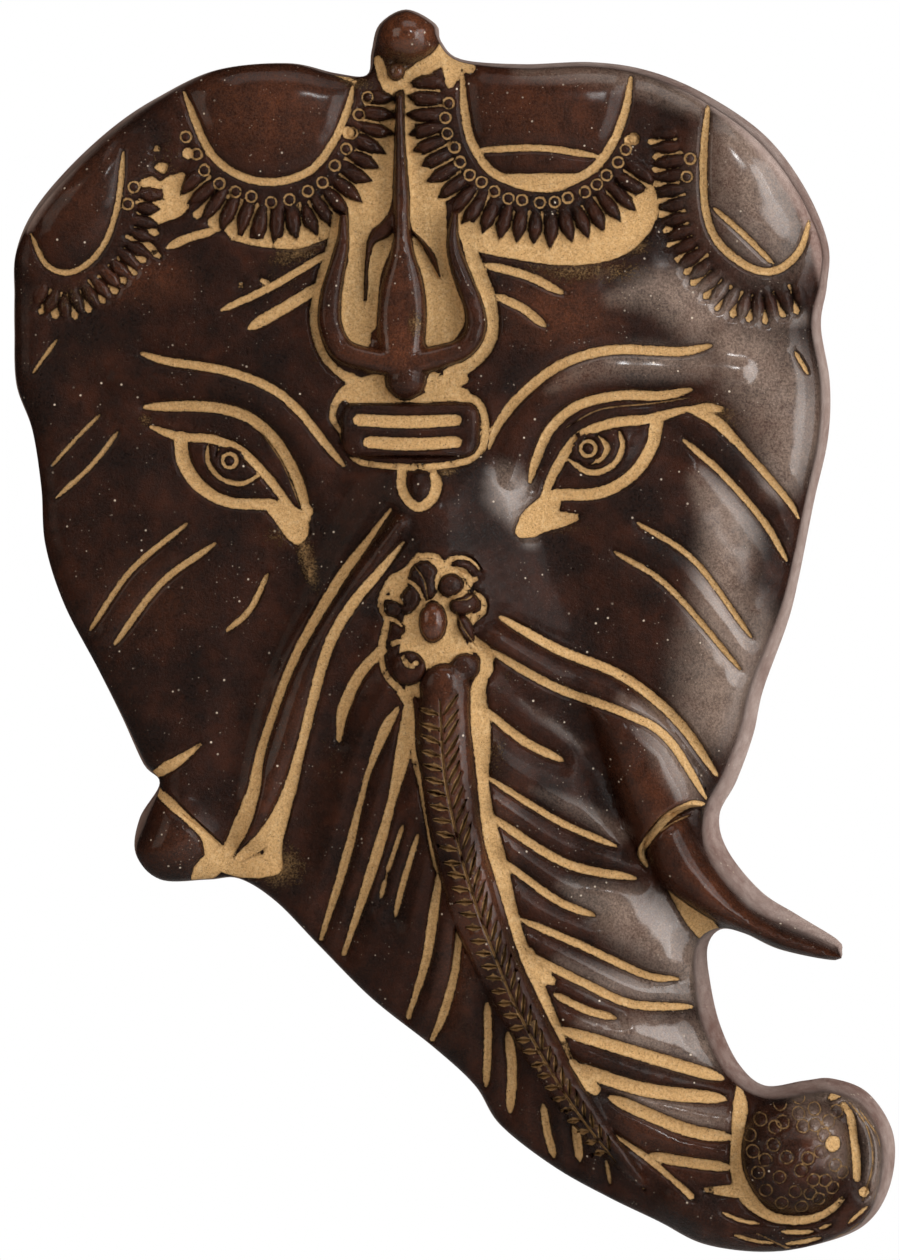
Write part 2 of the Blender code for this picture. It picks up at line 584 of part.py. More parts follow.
class Sheet:
    """Points of the flat drawing and the edges that the facets must follow."""

    def __init__(self):
        self.points = []
        self.edges = []

    def add(self, rows, closed=False):
        """Adds a chain of points joined by edges."""
        first = len(self.points)
        self.points.extend(np.asarray(rows)[:, :2])
        last = len(self.points) - 1
        self.edges.extend((k, k + 1) for k in range(first, last))
        if closed:
            self.edges.append((last, first))

    def add_rails(self, curve, offsets):
        """Adds chains beside a curve, at shares of its half width."""
        outward = sides(curve)
        for offset in offsets:
            self.add(curve[:, :2] + outward * (0.5 * offset * curve[:, 2:3]))

    def add_ring(self, centre, half_sizes, turn, radius, count):
        """Adds an ellipse, at a share of its half sizes."""
        angles = np.linspace(0, 2 * math.pi, int(round(count)), endpoint=False)
        circle = radius * np.stack([np.cos(angles), np.sin(angles)], axis=1)
        angle = math.radians(turn)
        axes = np.array([[math.cos(angle), -math.sin(angle)], [math.sin(angle), math.cos(angle)]])
        self.add(place([centre])[0] + (circle * np.array(half_sizes) * UNIT) @ axes, closed=True)


def drawing():
    """Sheet with every feature of the face."""
    sheet = Sheet()
    for _, points in BARS.values():
        sheet.add_rails(smooth(place(points), STROKE_STEP), BAR_RAILS)
    for curve in carved_curves():
        sheet.add_rails(curve, LINE_RAILS)
    for u, v, half_u, half_v, turn, _ in DOMES.values():
        count = BIG_DOME_SIDES if half_v >= BIG_DOME else DOME_SIDES
        for radius in DOME_RINGS:
            sheet.add_ring((u, v), (half_u, half_v), turn, radius, count)
        sheet.points.append(place([(u, v)])[0])
    for radius in (MOUTH_RADIUS, MOUTH_RADIUS + MOUTH_EDGE):
        sheet.add_ring(MOUTH_CENTRE, (radius, radius), 0, 1.0, MOUTH_SIDES)
    for centre, direction, length in petals():
        across = np.array([-direction[1], direction[0]]) * (0.5 * PETAL_WIDTH * UNIT)
        along = direction * (0.5 * length)
        sheet.add([centre + along, centre + across, centre - along, centre - across], closed=True)
        sheet.points.append(centre)
    half = np.array(PLATE_SIZE) / 2
    slant = PLATE_SLANT * PLATE_CORNER
    for inset in (0, PLATE_INSET):
        u, v = half - inset
        corners = [(-u, -v + slant), (-u + slant, -v), (u - slant, -v), (u, -v + slant),
                   (u, v - slant), (u - slant, v), (-u + slant, v), (-u, v - slant)]
        sheet.add(place(np.array(PLATE_CENTRE) + np.array(corners)), closed=True)
    return sheet


def within(spots, loop):
    """True for each spot inside the closed loop."""
    odd = np.zeros(len(spots), dtype=bool)
    for start, end in zip(loop, np.roll(loop, -1, axis=0)):
        crosses = (start[1] > spots[:, 1]) != (end[1] > spots[:, 1])
        rise = end[1] - start[1] if end[1] != start[1] else 1e-12
        side = start[0] + (spots[:, 1] - start[1]) * (end[0] - start[0]) / rise
        odd ^= crosses & (spots[:, 0] < side)
    return odd


def grid(loop, step):
    """Staggered points one step apart over the box round a loop."""
    low, high = loop.min(axis=0), loop.max(axis=0)
    rows = []
    for row, z in enumerate(np.arange(low[1], high[1], step * math.sqrt(0.75))):
        shift = 0.5 * step * (row % 2)
        rows.extend((x, z) for x in np.arange(low[0] + shift, high[0], step))
    return np.array(rows)


def clear_of(spots, others, gap):
    """Spots that are farther than a gap from all the others."""
    others = np.array(others)
    keep = [np.min(np.sum((others - spot) ** 2, axis=1)) > gap * gap for spot in spots]
    return spots[np.array(keep, dtype=bool)]


def triangles(points, edges):
    """Flat triangles that fill the closed chain of edges, over all the points."""
    flat = [Vector(np.asarray(point) / MM) for point in points]
    found = delaunay_2d_cdt(flat, edges, [], 1, MERGE_GAP / MM)
    return np.array([tuple(vertex) for vertex in found[0]]) * MM, found[2]


def boundary(faces):
    """Vertex indices round the edge of a flat mesh, in order."""
    used = {}
    for face in faces:
        for start, end in zip(face, face[1:] + face[:1]):
            used[(start, end)] = True
    following = {start: end for start, end in used if (end, start) not in used}
    first = min(following)
    loop = [first]
    while following[loop[-1]] != first:
        loop.append(following[loop[-1]])
    return loop


def back_depth(spots):
    """Gap between the wall and the back, which is only open under the tusk's tip."""
    root, tip = place(TUSK_LINE)
    near = reach(spots, np.array([root, tip])) < TUSK_HALF_WIDTH * UNIT
    return np.where(near, TUSK_LIFT * share_along(spots, root, tip) ** TUSK_CURL, 0)


def cast_brass():
    """Dark patina on brass."""
    material = bpy.data.materials.new("patinated_brass")
    material.use_nodes = True
    shader = material.node_tree.nodes["Principled BSDF"]
    shader.inputs["Base Color"].default_value = (0.045, 0.022, 0.014, 1)
    shader.inputs["Roughness"].default_value = 0.35
    shader.inputs["Metallic"].default_value = 0.7
    return material


def build_plaque():
    """The whole casting as one closed mesh."""
    front_edge, rim = edge_curves()
    sheet = drawing()
    keep = within(np.array(sheet.points), front_edge)
    near = reach(np.array(sheet.points), front_edge, closed=True) < EDGE_CLEARANCE
    kept = {old: new for new, old in enumerate(np.flatnonzero(keep & ~near))}
    points = [sheet.points[old] for old in kept]
    edges = [(kept[a], kept[b]) for a, b in sheet.edges if a in kept and b in kept]

    outward = sides(rim, closed=True)
    for inset in EDGE_RINGS:
        ring = front_edge - outward * inset
        gap = reach(ring, front_edge, closed=True)
        sound = within(ring, front_edge) & (gap > SOUND_RING * inset)
        points.extend(clear_of(ring[sound], points, RING_CLEARANCE))
    fill = grid(front_edge, FILL_STEP)
    gap = reach(fill, front_edge, closed=True)
    fill = fill[within(fill, front_edge) & (gap > FILL_CLEARANCE)]
    points.extend(clear_of(fill, points, FILL_GAP * FILL_STEP))

    first = len(points)
    points.extend(front_edge)
    edges.extend((first + k, first + (k + 1) % len(front_edge)) for k in range(len(front_edge)))
    flat, faces = triangles(points, edges)
    faces = [tuple(face) for face in faces]
    loop = boundary(faces)

    nearest = [int(np.argmin(np.sum((front_edge - flat[k]) ** 2, axis=1))) for k in loop]
    back_loop = np.array([flat[k] + rim[n] - front_edge[n] for k, n in zip(loop, nearest)])
    back_edges = [(k, (k + 1) % len(back_loop)) for k in range(len(back_loop))]
    middle = grid(back_loop, BACK_STEP)
    middle = middle[within(middle, back_loop)]
    middle = middle[reach(middle, back_loop, closed=True) > BACK_GAP * BACK_STEP]
    back_points = list(back_loop) + list(middle) + list(place(TUSK_ROOT))
    back_flat, back_faces = triangles(back_points, back_edges)
    assert len(back_flat) == len(back_points)

    mesh = bmesh.new()
    depths = relief(flat, front_edge)
    front = [mesh.verts.new((x, -depth, z)) for (x, z), depth in zip(flat, depths)]
    gaps = back_depth(back_flat)
    back = [mesh.verts.new((x, -gap, z)) for (x, z), gap in zip(back_flat, gaps)]
    for face in faces:
        mesh.faces.new([front[k] for k in face])
    for face in back_faces:
        mesh.faces.new([back[k] for k in reversed(face)])
    for k in range(len(loop)):
        after = (k + 1) % len(loop)
        corners = (front[loop[k]], front[loop[after]], back[after], back[k])
        mesh.faces.new((corners[0], corners[2], corners[1]))
        mesh.faces.new((corners[0], corners[3], corners[2]))
    bmesh.ops.recalc_face_normals(mesh, faces=mesh.faces)
    data = bpy.data.meshes.new("ganesha_relief")
    mesh.to_mesh(data)
    mesh.free()
    data.materials.append(cast_brass())
    plaque = bpy.data.objects.new("ganesha_relief", data)
    bpy.context.collection.objects.link(plaque)
    return plaque


def main():
    """Clears the scene and builds the plaque."""
    for thing in list(bpy.data.objects):
        bpy.data.objects.remove(thing)
    build_plaque()


if __name__ == "__main__":
    main()
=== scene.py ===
"""Dresses the cast brass elephant plaque: fine relief, patina, pigment, light and camera."""

import math

import bmesh
import bpy
import numpy as np
from bpy.props import FloatProperty, FloatVectorProperty, PointerProperty
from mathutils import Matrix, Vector, noise
from mathutils.geometry import delaunay_2d_cdt


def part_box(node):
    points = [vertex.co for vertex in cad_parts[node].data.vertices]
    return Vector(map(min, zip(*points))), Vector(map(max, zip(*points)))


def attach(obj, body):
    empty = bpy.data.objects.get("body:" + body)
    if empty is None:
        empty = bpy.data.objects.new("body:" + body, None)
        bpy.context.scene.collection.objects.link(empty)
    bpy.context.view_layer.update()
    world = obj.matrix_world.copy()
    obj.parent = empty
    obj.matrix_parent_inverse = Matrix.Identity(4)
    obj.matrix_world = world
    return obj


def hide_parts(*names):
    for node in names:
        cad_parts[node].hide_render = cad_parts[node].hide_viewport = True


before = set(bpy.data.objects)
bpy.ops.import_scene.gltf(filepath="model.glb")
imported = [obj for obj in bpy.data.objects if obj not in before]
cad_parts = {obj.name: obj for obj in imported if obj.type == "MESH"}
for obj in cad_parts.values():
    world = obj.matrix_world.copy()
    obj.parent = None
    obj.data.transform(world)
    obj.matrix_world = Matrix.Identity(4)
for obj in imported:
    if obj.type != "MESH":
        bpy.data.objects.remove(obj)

bl_info = {
    "name": "Elephant Plaque Finish",
    "version": (1, 0, 0),
    "blender": (4, 5, 0),
    "location": "3D View > Sidebar > Plaque",
    "description": "Models the fine relief and patina of a cast brass elephant plaque",
    "category": "Object",
}

NODE = "ganesha_relief"
BODY = "root"
LOW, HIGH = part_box(NODE)
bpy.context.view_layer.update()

# The sheet that the face is drawn on: points (u, v) from its top left corner
SHEET_HEIGHT = 1249
HANG_POINT = (416, 112)
UNIT = (HIGH[2] - LOW[2]) / SHEET_HEIGHT
MM = 0.001

# Spacing of the mesh, in units of the sheet
EDGE_STEP = 4.4
LINE_STEP = 5.0
FILL_STEP = 4.2
BACK_STEP = 14.0
EDGE_INSETS = (1.8, 4.2, 8.0, 13.0)
EDGE_CLEARANCE = 1.6

# Rounds of averaging that tell what stands proud, and the angle of a sharp edge in degrees
PROUD_ROUNDS = 14
SHARP_ANGLE = 62

# Gap to the nearest pigment where there is none
FAR = 60.0

# Outline of the back rim, clockwise, and how wide the rim wall shows there from the front
OUTLINE = [
    (406, 6, 6), (436, 21, 6), (441, 38, 4), (461, 56, 5), (522, 61, 8), (593, 59, 8),
    (651, 68, 9), (708, 92, 11), (766, 132, 13), (806, 184, 12), (830, 241, 10),
    (829, 284, 10), (823, 324, 12), (832, 382, 12), (830, 438, 12), (816, 501, 11),
    (800, 581, 12), (789, 624, 14), (765, 690, 16), (755, 735, 17), (738, 782, 18),
    (721, 816, 18), (729, 851, 23), (762, 892, 21), (799, 916, 15), (838, 940, 8),
    (843, 951, 5), (836, 961, 2), (782, 951, 2), (746, 935, 2), (722, 931, 3),
    (709, 949, 14), (712, 986, 18), (722, 1028, 19), (741, 1067, 17), (767, 1088, 11),
    (806, 1083, 12), (835, 1081, 13), (871, 1096, 15), (896, 1138, 17), (892, 1190, 15),
    (866, 1229, 8), (814, 1249, 4), (761, 1255, 3), (704, 1247, 3), (657, 1223, 2),
    (605, 1198, 2), (552, 1168, 2), (500, 1127, 2), (475, 1088, 2), (434, 1050, 2),
    (372, 1001, 2), (319, 948, 2), (275, 903, 2), (238, 880, 2), (207, 881, 2),
    (159, 881, 2), (134, 855, 3), (138, 819, 9), (158, 784, 2), (142, 765, 4),
    (120, 717, 3), (95, 667, 2), (62, 604, 2), (43, 544, 2), (39, 487, 2), (30, 429, 2),
    (14, 383, 3), (12, 329, 3), (12, 293, 3), (13, 253, 3), (29, 212, 7), (63, 169, 9),
    (109, 126, 8), (155, 95, 6), (215, 67, 4), (287, 60, 4), (335, 70, 5), (366, 72, 3),
    (371, 48, 4), (379, 21, 5),
]

# Broad swells of the face: centre, half sizes and turn on the sheet, and rise in millimetres
SWELLS = {
    "lobe_left": (262, 112, 92, 70, 0, 4.2),
    "lobe_right": (552, 112, 92, 68, 0, 4.2),
    "lobe_far_left": (88, 196, 56, 84, 40, 4.6),
    "lobe_far_right": (732, 178, 62, 92, -22, 5.6),
    "forehead": (410, 330, 230, 170, 0, 3.0),
    "brow_ridge_right": (610, 330, 120, 60, -8, 1.6),
    "eye_socket_left": (232, 462, 78, 50, 22, -1.6),
    "eye_socket_right": (602, 456, 80, 50, -22, -1.6),
    "cheek_left": (160, 610, 100, 120, 20, 2.2),
    "cheek_right": (668, 560, 80, 130, -25, 3.6),
    "temple_right": (740, 400, 60, 90, -10, 2.0),
    "sheath_end_left": (208, 792, 52, 46, 0, 3.0),
    "stump_left": (172, 846, 42, 42, 0, 5.5),
    "trunk_root": (430, 600, 110, 150, 0, 3.0),
}

# Rounded folds: rise in millimetres, and points with a width
RIDGES = {
    "trunk": (7.5, [
        (432, 520, 150), (432, 640, 250), (446, 770, 300), (484, 890, 290), (545, 1000, 250),
        (620, 1090, 210), (710, 1150, 170), (800, 1165, 150)]),
    "sheath_root": (3.4, [(500, 640, 40), (560, 680, 70), (612, 716, 100)]),
    "sheath_left": (3.4, [
        (400, 524, 20), (348, 598, 52), (306, 672, 64), (282, 750, 66), (258, 830, 50)]),
    "lid_left": (0.9, [
        (120, 380, 30), (215, 388, 52), (268, 406, 56), (306, 452, 52), (326, 500, 24)]),
    "lid_right": (0.9, [
        (740, 372, 30), (640, 372, 52), (582, 384, 56), (532, 424, 52), (510, 480, 24)]),
    "scroll_rim": (3.2, [
        (842, 1096, 40), (874, 1124, 44), (882, 1166, 46), (864, 1208, 46), (812, 1234, 46),
        (740, 1232, 50), (676, 1206, 50)]),
    "mouth": (2.2, [(610, 850, 60), (630, 900, 80), (670, 960, 60)]),
}

# Raised bars with a crisp foot: rise in millimetres, and points with a width
BARS = {
    "trident_middle": (4.2, [
        (400, 98, 8), (400, 132, 10), (401, 168, 13), (402, 200, 16), (402, 236, 16),
        (403, 262, 27), (403, 290, 43), (402, 320, 50), (402, 350, 44)]),
    "trident_left": (4.2, [
        (344, 217, 7), (343, 246, 13), (336, 275, 18), (331, 300, 22), (331, 326, 23),
        (343, 351, 24), (370, 361, 24), (400, 366, 26)]),
    "trident_right": (4.2, [
        (455, 215, 6), (453, 246, 13), (461, 275, 18), (472, 303, 20), (476, 327, 20),
        (466, 348, 21), (440, 358, 24), (408, 366, 26)]),
    "barb_left": (0.9, [(397, 214, 8), (386, 230, 15), (372, 243, 7), (367, 262, 3),
                        (366, 300, 3)]),
    "barb_right": (0.9, [(412, 232, 2), (424, 245, 5), (433, 260, 7), (440, 278, 2)]),
    "strap": (3.4, [
        (445, 688, 50), (446, 760, 52), (457, 840, 50), (478, 920, 47), (509, 990, 41),
        (548, 1060, 35), (590, 1122, 28), (640, 1180, 12)]),
    "tusk": (8.0, [
        (668, 838, 50), (682, 865, 54), (701, 885, 47), (719, 902, 38), (740, 918, 29),
        (763, 931, 25), (790, 943, 23), (815, 951, 20), (836, 956, 12)]),
}

# The sheath round the root of the right tusk: rise in millimetres, and points with a width.
# It swells up between two distances along its way, and a round mouth cuts it off: centre,
# radius and width of the mouth's edge.
SHEATH = (7.5, [
    (590, 668, 30), (620, 714, 58), (645, 760, 78), (664, 805, 86), (678, 835, 86)])
SHEATH_WAY = (0.55, 0.83)
SHEATH_START = (860, 1000)
SHEATH_MOUTH = (690, 853, 44)
MOUTH_EDGE = 5

# The tusk's line behind the face, and how far the back clears the wall at its tip
TUSK_LINE = [(716, 888), (838, 953)]
TUSK_HALF_WIDTH = 40
TUSK_LIFT = 7.0 * MM
TUSK_CURL = 1.5

# Soft hollows: depth in millimetres, width, and points
HOLLOWS = {
    "beside_sheath": (1.8, 30, [(566, 700), (592, 750), (612, 800), (632, 846)]),
    "nose_left": (1.0, 30, [(398, 560), (380, 620), (350, 700), (320, 790), (300, 860)]),
    "cheek_left": (1.2, 40, [(330, 500), (300, 570), (262, 650), (236, 740), (214, 800)]),
    "under_brow_left": (0.8, 40, [(300, 560), (250, 540), (200, 512), (170, 470)]),
    "under_brow_right": (0.8, 40, [(560, 530), (610, 512), (650, 484), (672, 440)]),
    "trunk_edge": (0.25, 30, [(640, 866), (664, 900), (690, 940), (694, 1010)]),
}

# Thin cuts with a trace of pigment: width and points, and the depth in millimetres. A trace is
# the share of a cut's half width that pigment stays in.
CUT_DEPTH = 0.5
CUT_TRACE = 0.5
CUTS = {
    "scroll_fold_1": (4, [(846, 1098), (866, 1126), (872, 1162), (862, 1200)]),
    "scroll_fold_2": (4, [(858, 1108), (878, 1138), (882, 1168), (872, 1204)]),
    "scroll_fold_3": (4, [(756, 1232), (800, 1250), (846, 1232), (880, 1204)]),
    "stump_ring": (4, [(184, 815), (206, 832), (220, 846)]),
    "socket_inner": (3, [(658, 832), (672, 822), (690, 815)]),
    "flower_fold_1": (3, [(414, 566), (424, 580), (428, 600)]),
    "flower_fold_2": (3, [(452, 600), (466, 600), (476, 592)]),
    "flower_fold_3": (3, [(456, 612), (462, 626), (474, 644)]),
    "lid_fold_left": (3, [(262, 432), (284, 466), (300, 506)]),
    "lid_fold_right": (3, [(690, 398), (650, 404), (600, 410), (566, 428)]),
}

# Flat raised plate between the brows, with its rise in millimetres
PLATE_CENTRE = (410, 431)
PLATE_SIZE = (137, 54)
PLATE_CORNER = 14
PLATE_RISE = 1.8

# Round domes: centre, half sizes and turn on the sheet, and rise in millimetres
DOMES = {
    "knob": (408, 33, 33, 30, 0, 7.0),
    "crest_bead": (396, 72, 9, 9, 0, 2.0),
    "trident_knob": (406, 380, 21, 21, 0, 4.8),
    "ball": (794, 1152, 54, 59, 0, 8.4),
    "drop": (419, 484, 8.5, 14, 0, 0.9),
    "eye_left": (234, 468, 54, 26, 26, 1.6),
    "eye_right": (600, 460, 58, 28, -26, 1.6),
    "bud_centre": (433, 622, 14, 21, 0, 2.8),
    "bud_top": (424, 581, 16, 20, 0, 1.3),
    "bud_top_right": (451, 586, 13, 12, -20, 1.4),
    "bud_top_far": (466, 565, 13, 8, 25, 0.9),
    "bud_right": (464, 604, 15, 11, -15, 1.9),
    "bud_side_right": (466, 628, 7, 15, -24, 1.2),
    "bud_top_left": (410, 600, 10, 15, 20, 1.2),
    "bud_left": (393, 609, 9, 8, 0, 1.0),
    "bud_low_left": (398, 629, 8, 7, 0, 0.9),
    "curl_left": (409, 668, 17, 17, 0, 1.3),
    "curl_right": (465, 667, 15, 14, 0, 1.9),
}

# Carved lines: width and points. Pigment fills them all.
LINES = {
    "lobe_left": (8, [
        (184, 92), (204, 141), (222, 165), (250, 180), (281, 182), (312, 170), (334, 142),
        (348, 108), (353, 86)]),
    "lobe_far_left": (6, [
        (124, 152), (119, 201), (107, 240), (88, 264), (66, 273), (46, 264), (31, 234)]),
    "lobe_right": (9, [
        (462, 74), (465, 113), (473, 145), (496, 175), (545, 189), (588, 173), (610, 148),
        (625, 112), (631, 77)]),
    "lobe_right_chord": (7, [(478, 151), (540, 149), (598, 157)]),
    "lobe_far_right": (8, [
        (708, 104), (703, 158), (705, 210), (718, 243), (750, 268), (778, 270), (800, 250),
        (810, 220)]),
    "lobe_far_right_chord": (6, [(713, 209), (744, 236), (773, 264)]),
    "brow_left": (9, [
        (142, 354), (170, 362), (225, 371), (270, 388), (300, 412), (327, 446), (344, 466)]),
    "brow_right": (10, [
        (710, 346), (680, 352), (610, 351), (560, 366), (520, 397), (497, 427), (489, 448)]),
    "lid_left": (11, [
        (145, 407), (207, 407), (247, 417), (275, 440), (297, 478), (309, 520)]),
    "lid_right": (10, [
        (691, 390), (660, 396), (620, 396), (578, 406), (550, 430), (536, 460), (530, 482)]),
    "eye_upper_left": (9, [
        (151, 427), (180, 437), (210, 439), (240, 450), (265, 474), (285, 500), (300, 520)]),
    "eye_upper_right": (10, [
        (690, 408), (650, 419), (610, 424), (578, 438), (558, 465), (542, 500)]),
    "eye_lower_left": (0, [
        (181, 438, 14), (184, 462, 14), (200, 486, 13), (228, 502, 11), (272, 505, 12)]),
    "eye_lower_right": (0, [
        (656, 424, 14), (651, 448, 13), (632, 475, 12), (600, 493, 12), (556, 495, 12)]),
    "iris_left": (5, [(208, 446), (209, 464), (222, 479), (242, 484), (262, 474)]),
    "pupil_left": (4, [(219, 449), (219, 459), (225, 468), (237, 470), (243, 464)]),
    "iris_right": (6, [(619, 432), (622, 448), (612, 466), (590, 473), (568, 460)]),
    "pupil_right": (6, [(598, 437), (607, 449), (597, 461), (580, 460)]),
    "forehead_left_1": (8, [(222, 311), (273, 287), (330, 253)]),
    "forehead_left_2": (12, [(250, 329), (298, 301), (321, 286)]),
    "forehead_right_1": (9, [(485, 266), (525, 276), (562, 294)]),
    "forehead_right_2": (9, [(497, 297), (522, 309), (545, 327)]),
    "temple_left_1": (4, [(57, 340), (43, 359), (33, 373)]),
    "temple_left_2": (4, [(100, 415), (77, 438), (52, 466)]),
    "temple_left_3": (5, [(118, 432), (92, 465), (56, 498)]),
    "cheek_left_1": (6, [(187, 524), (132, 570), (90, 630)]),
    "cheek_left_2": (7, [(215, 544), (161, 584), (115, 644)]),
    "cheek_left_3": (6, [(268, 574), (250, 610), (227, 631)]),
    "cheek_right_1": (0, [
        (694, 412, 6), (716, 422, 12), (743, 449, 8), (786, 498, 7), (799, 518, 3)]),
    "cheek_right_2": (7, [(683, 440), (723, 475), (764, 522), (787, 561)]),
    "cheek_right_3": (6, [(637, 523), (694, 561), (751, 637)]),
    "cheek_right_4": (6, [(614, 552), (668, 587), (740, 669)]),
    "temple_right": (5, [(795, 352), (808, 374)]),
    "sheath_right_1": (10, [
        (500, 617), (559, 650), (622, 676), (676, 719), (717, 775)]),
    "sheath_right_2": (9, [
        (486, 648), (553, 686), (622, 712), (666, 737), (706, 798)]),
    "socket_right": (8, [
        (704, 804), (690, 804), (668, 816), (650, 836), (641, 852), (647, 866)]),
    "sheath_left_1": (0, [
        (391, 510, 3), (365, 545, 8), (337, 584, 11), (294, 660, 9), (263, 745, 9),
        (254, 790, 13), (242, 824, 17), (228, 852, 12)]),
    "sheath_left_2": (0, [
        (404, 543, 3), (380, 572, 9), (352, 606, 11), (327, 652, 11), (302, 745, 10),
        (288, 795, 14), (270, 832, 18), (240, 858, 10)]),
    "side_left_1": (0, [(382, 650, 11), (360, 674, 11), (344, 708, 12), (339, 740, 5)]),
    "side_left_2": (0, [
        (398, 708, 5), (386, 728, 11), (370, 768, 6), (361, 800, 6), (345, 862, 9),
        (321, 939, 5)]),
    "side_left_3": (0, [
        (409, 700, 8), (403, 752, 15), (392, 800, 9), (375, 860, 11), (344, 954, 5)]),
    "side_left_4": (5, [(403, 825), (394, 852), (387, 872)]),
    "side_left_45": (5, [(386, 878), (381, 897)]),
    "side_left_5": (6, [(418, 834), (404, 880), (395, 916)]),
    "side_left_6": (0, [(441, 864, 5), (434, 910, 10), (426, 960, 9), (408, 1018, 5)]),
    "side_left_7": (0, [(460, 922, 6), (455, 970, 8), (444, 1012, 9), (432, 1040, 5)]),
    "side_left_8": (8, [(487, 1002), (488, 1037), (486, 1086)]),
    "side_left_9": (10, [(508, 1032), (512, 1068), (510, 1111)]),
    "side_left_10": (8, [(543, 1104), (547, 1130), (554, 1157)]),
    "side_left_11": (9, [(575, 1122), (577, 1138), (580, 1160)]),
    "side_left_12": (4, [(606, 1160), (610, 1183)]),
    "rib_1": (9, [(483, 708), (523, 740), (562, 760)]),
    "rib_2": (7, [(488, 777), (559, 821), (616, 846)]),
    "rib_3": (9, [(490, 815), (564, 862), (635, 878)]),
    "rib_4": (8, [(500, 858), (556, 899), (594, 915)]),
    "rib_5": (8, [(520, 918), (582, 945), (644, 974), (678, 979)]),
    "rib_6": (9, [(525, 952), (582, 981), (631, 1003), (692, 1007)]),
    "rib_7": (8, [(554, 993), (587, 1009), (615, 1017)]),
    "rib_8": (13, [(560, 1028), (644, 1054), (722, 1078)]),
    "rib_9": (14, [(570, 1064), (644, 1088), (724, 1098)]),
    "rib_10": (13, [(610, 1096), (683, 1127), (729, 1136)]),
    "rib_11": (11, [(650, 1154), (683, 1160), (729, 1166)]),
    "plate_bar_upper": (0, [(359, 421, 12), (408, 423, 13), (456, 421, 12)]),
    "plate_bar_lower": (0, [(369, 443, 12), (410, 445, 13), (456, 443, 12)]),
    "drop_line": (0, [
        (402, 470, 10), (402, 488, 10), (409, 502, 10), (421, 508, 10), (433, 498, 11),
        (437, 485, 11), (434, 476, 9)]),
    "strap_end": (0, [(612, 1132, 3), (646, 1156, 7), (670, 1176, 6), (691, 1195, 7)]),
    "strap_tail": (4, [(600, 1146), (630, 1172), (644, 1188)]),
    "scroll_low_1": (4, [(722, 1211), (740, 1219), (758, 1222)]),
    "scroll_low_2": (5, [(781, 1230), (798, 1231), (812, 1230)]),
    "scroll_low_3": (4, [(819, 1227), (830, 1223)]),
    "scroll_low_4": (4, [(848, 1222), (858, 1213), (867, 1206)]),
    "scroll_low_5": (4, [(734, 1234), (755, 1240), (773, 1242)]),
    "scroll_low_6": (5, [(786, 1243), (803, 1241), (820, 1237)]),
    "ridge_left": (9, [(168, 248), (190, 238), (216, 231)]),
}

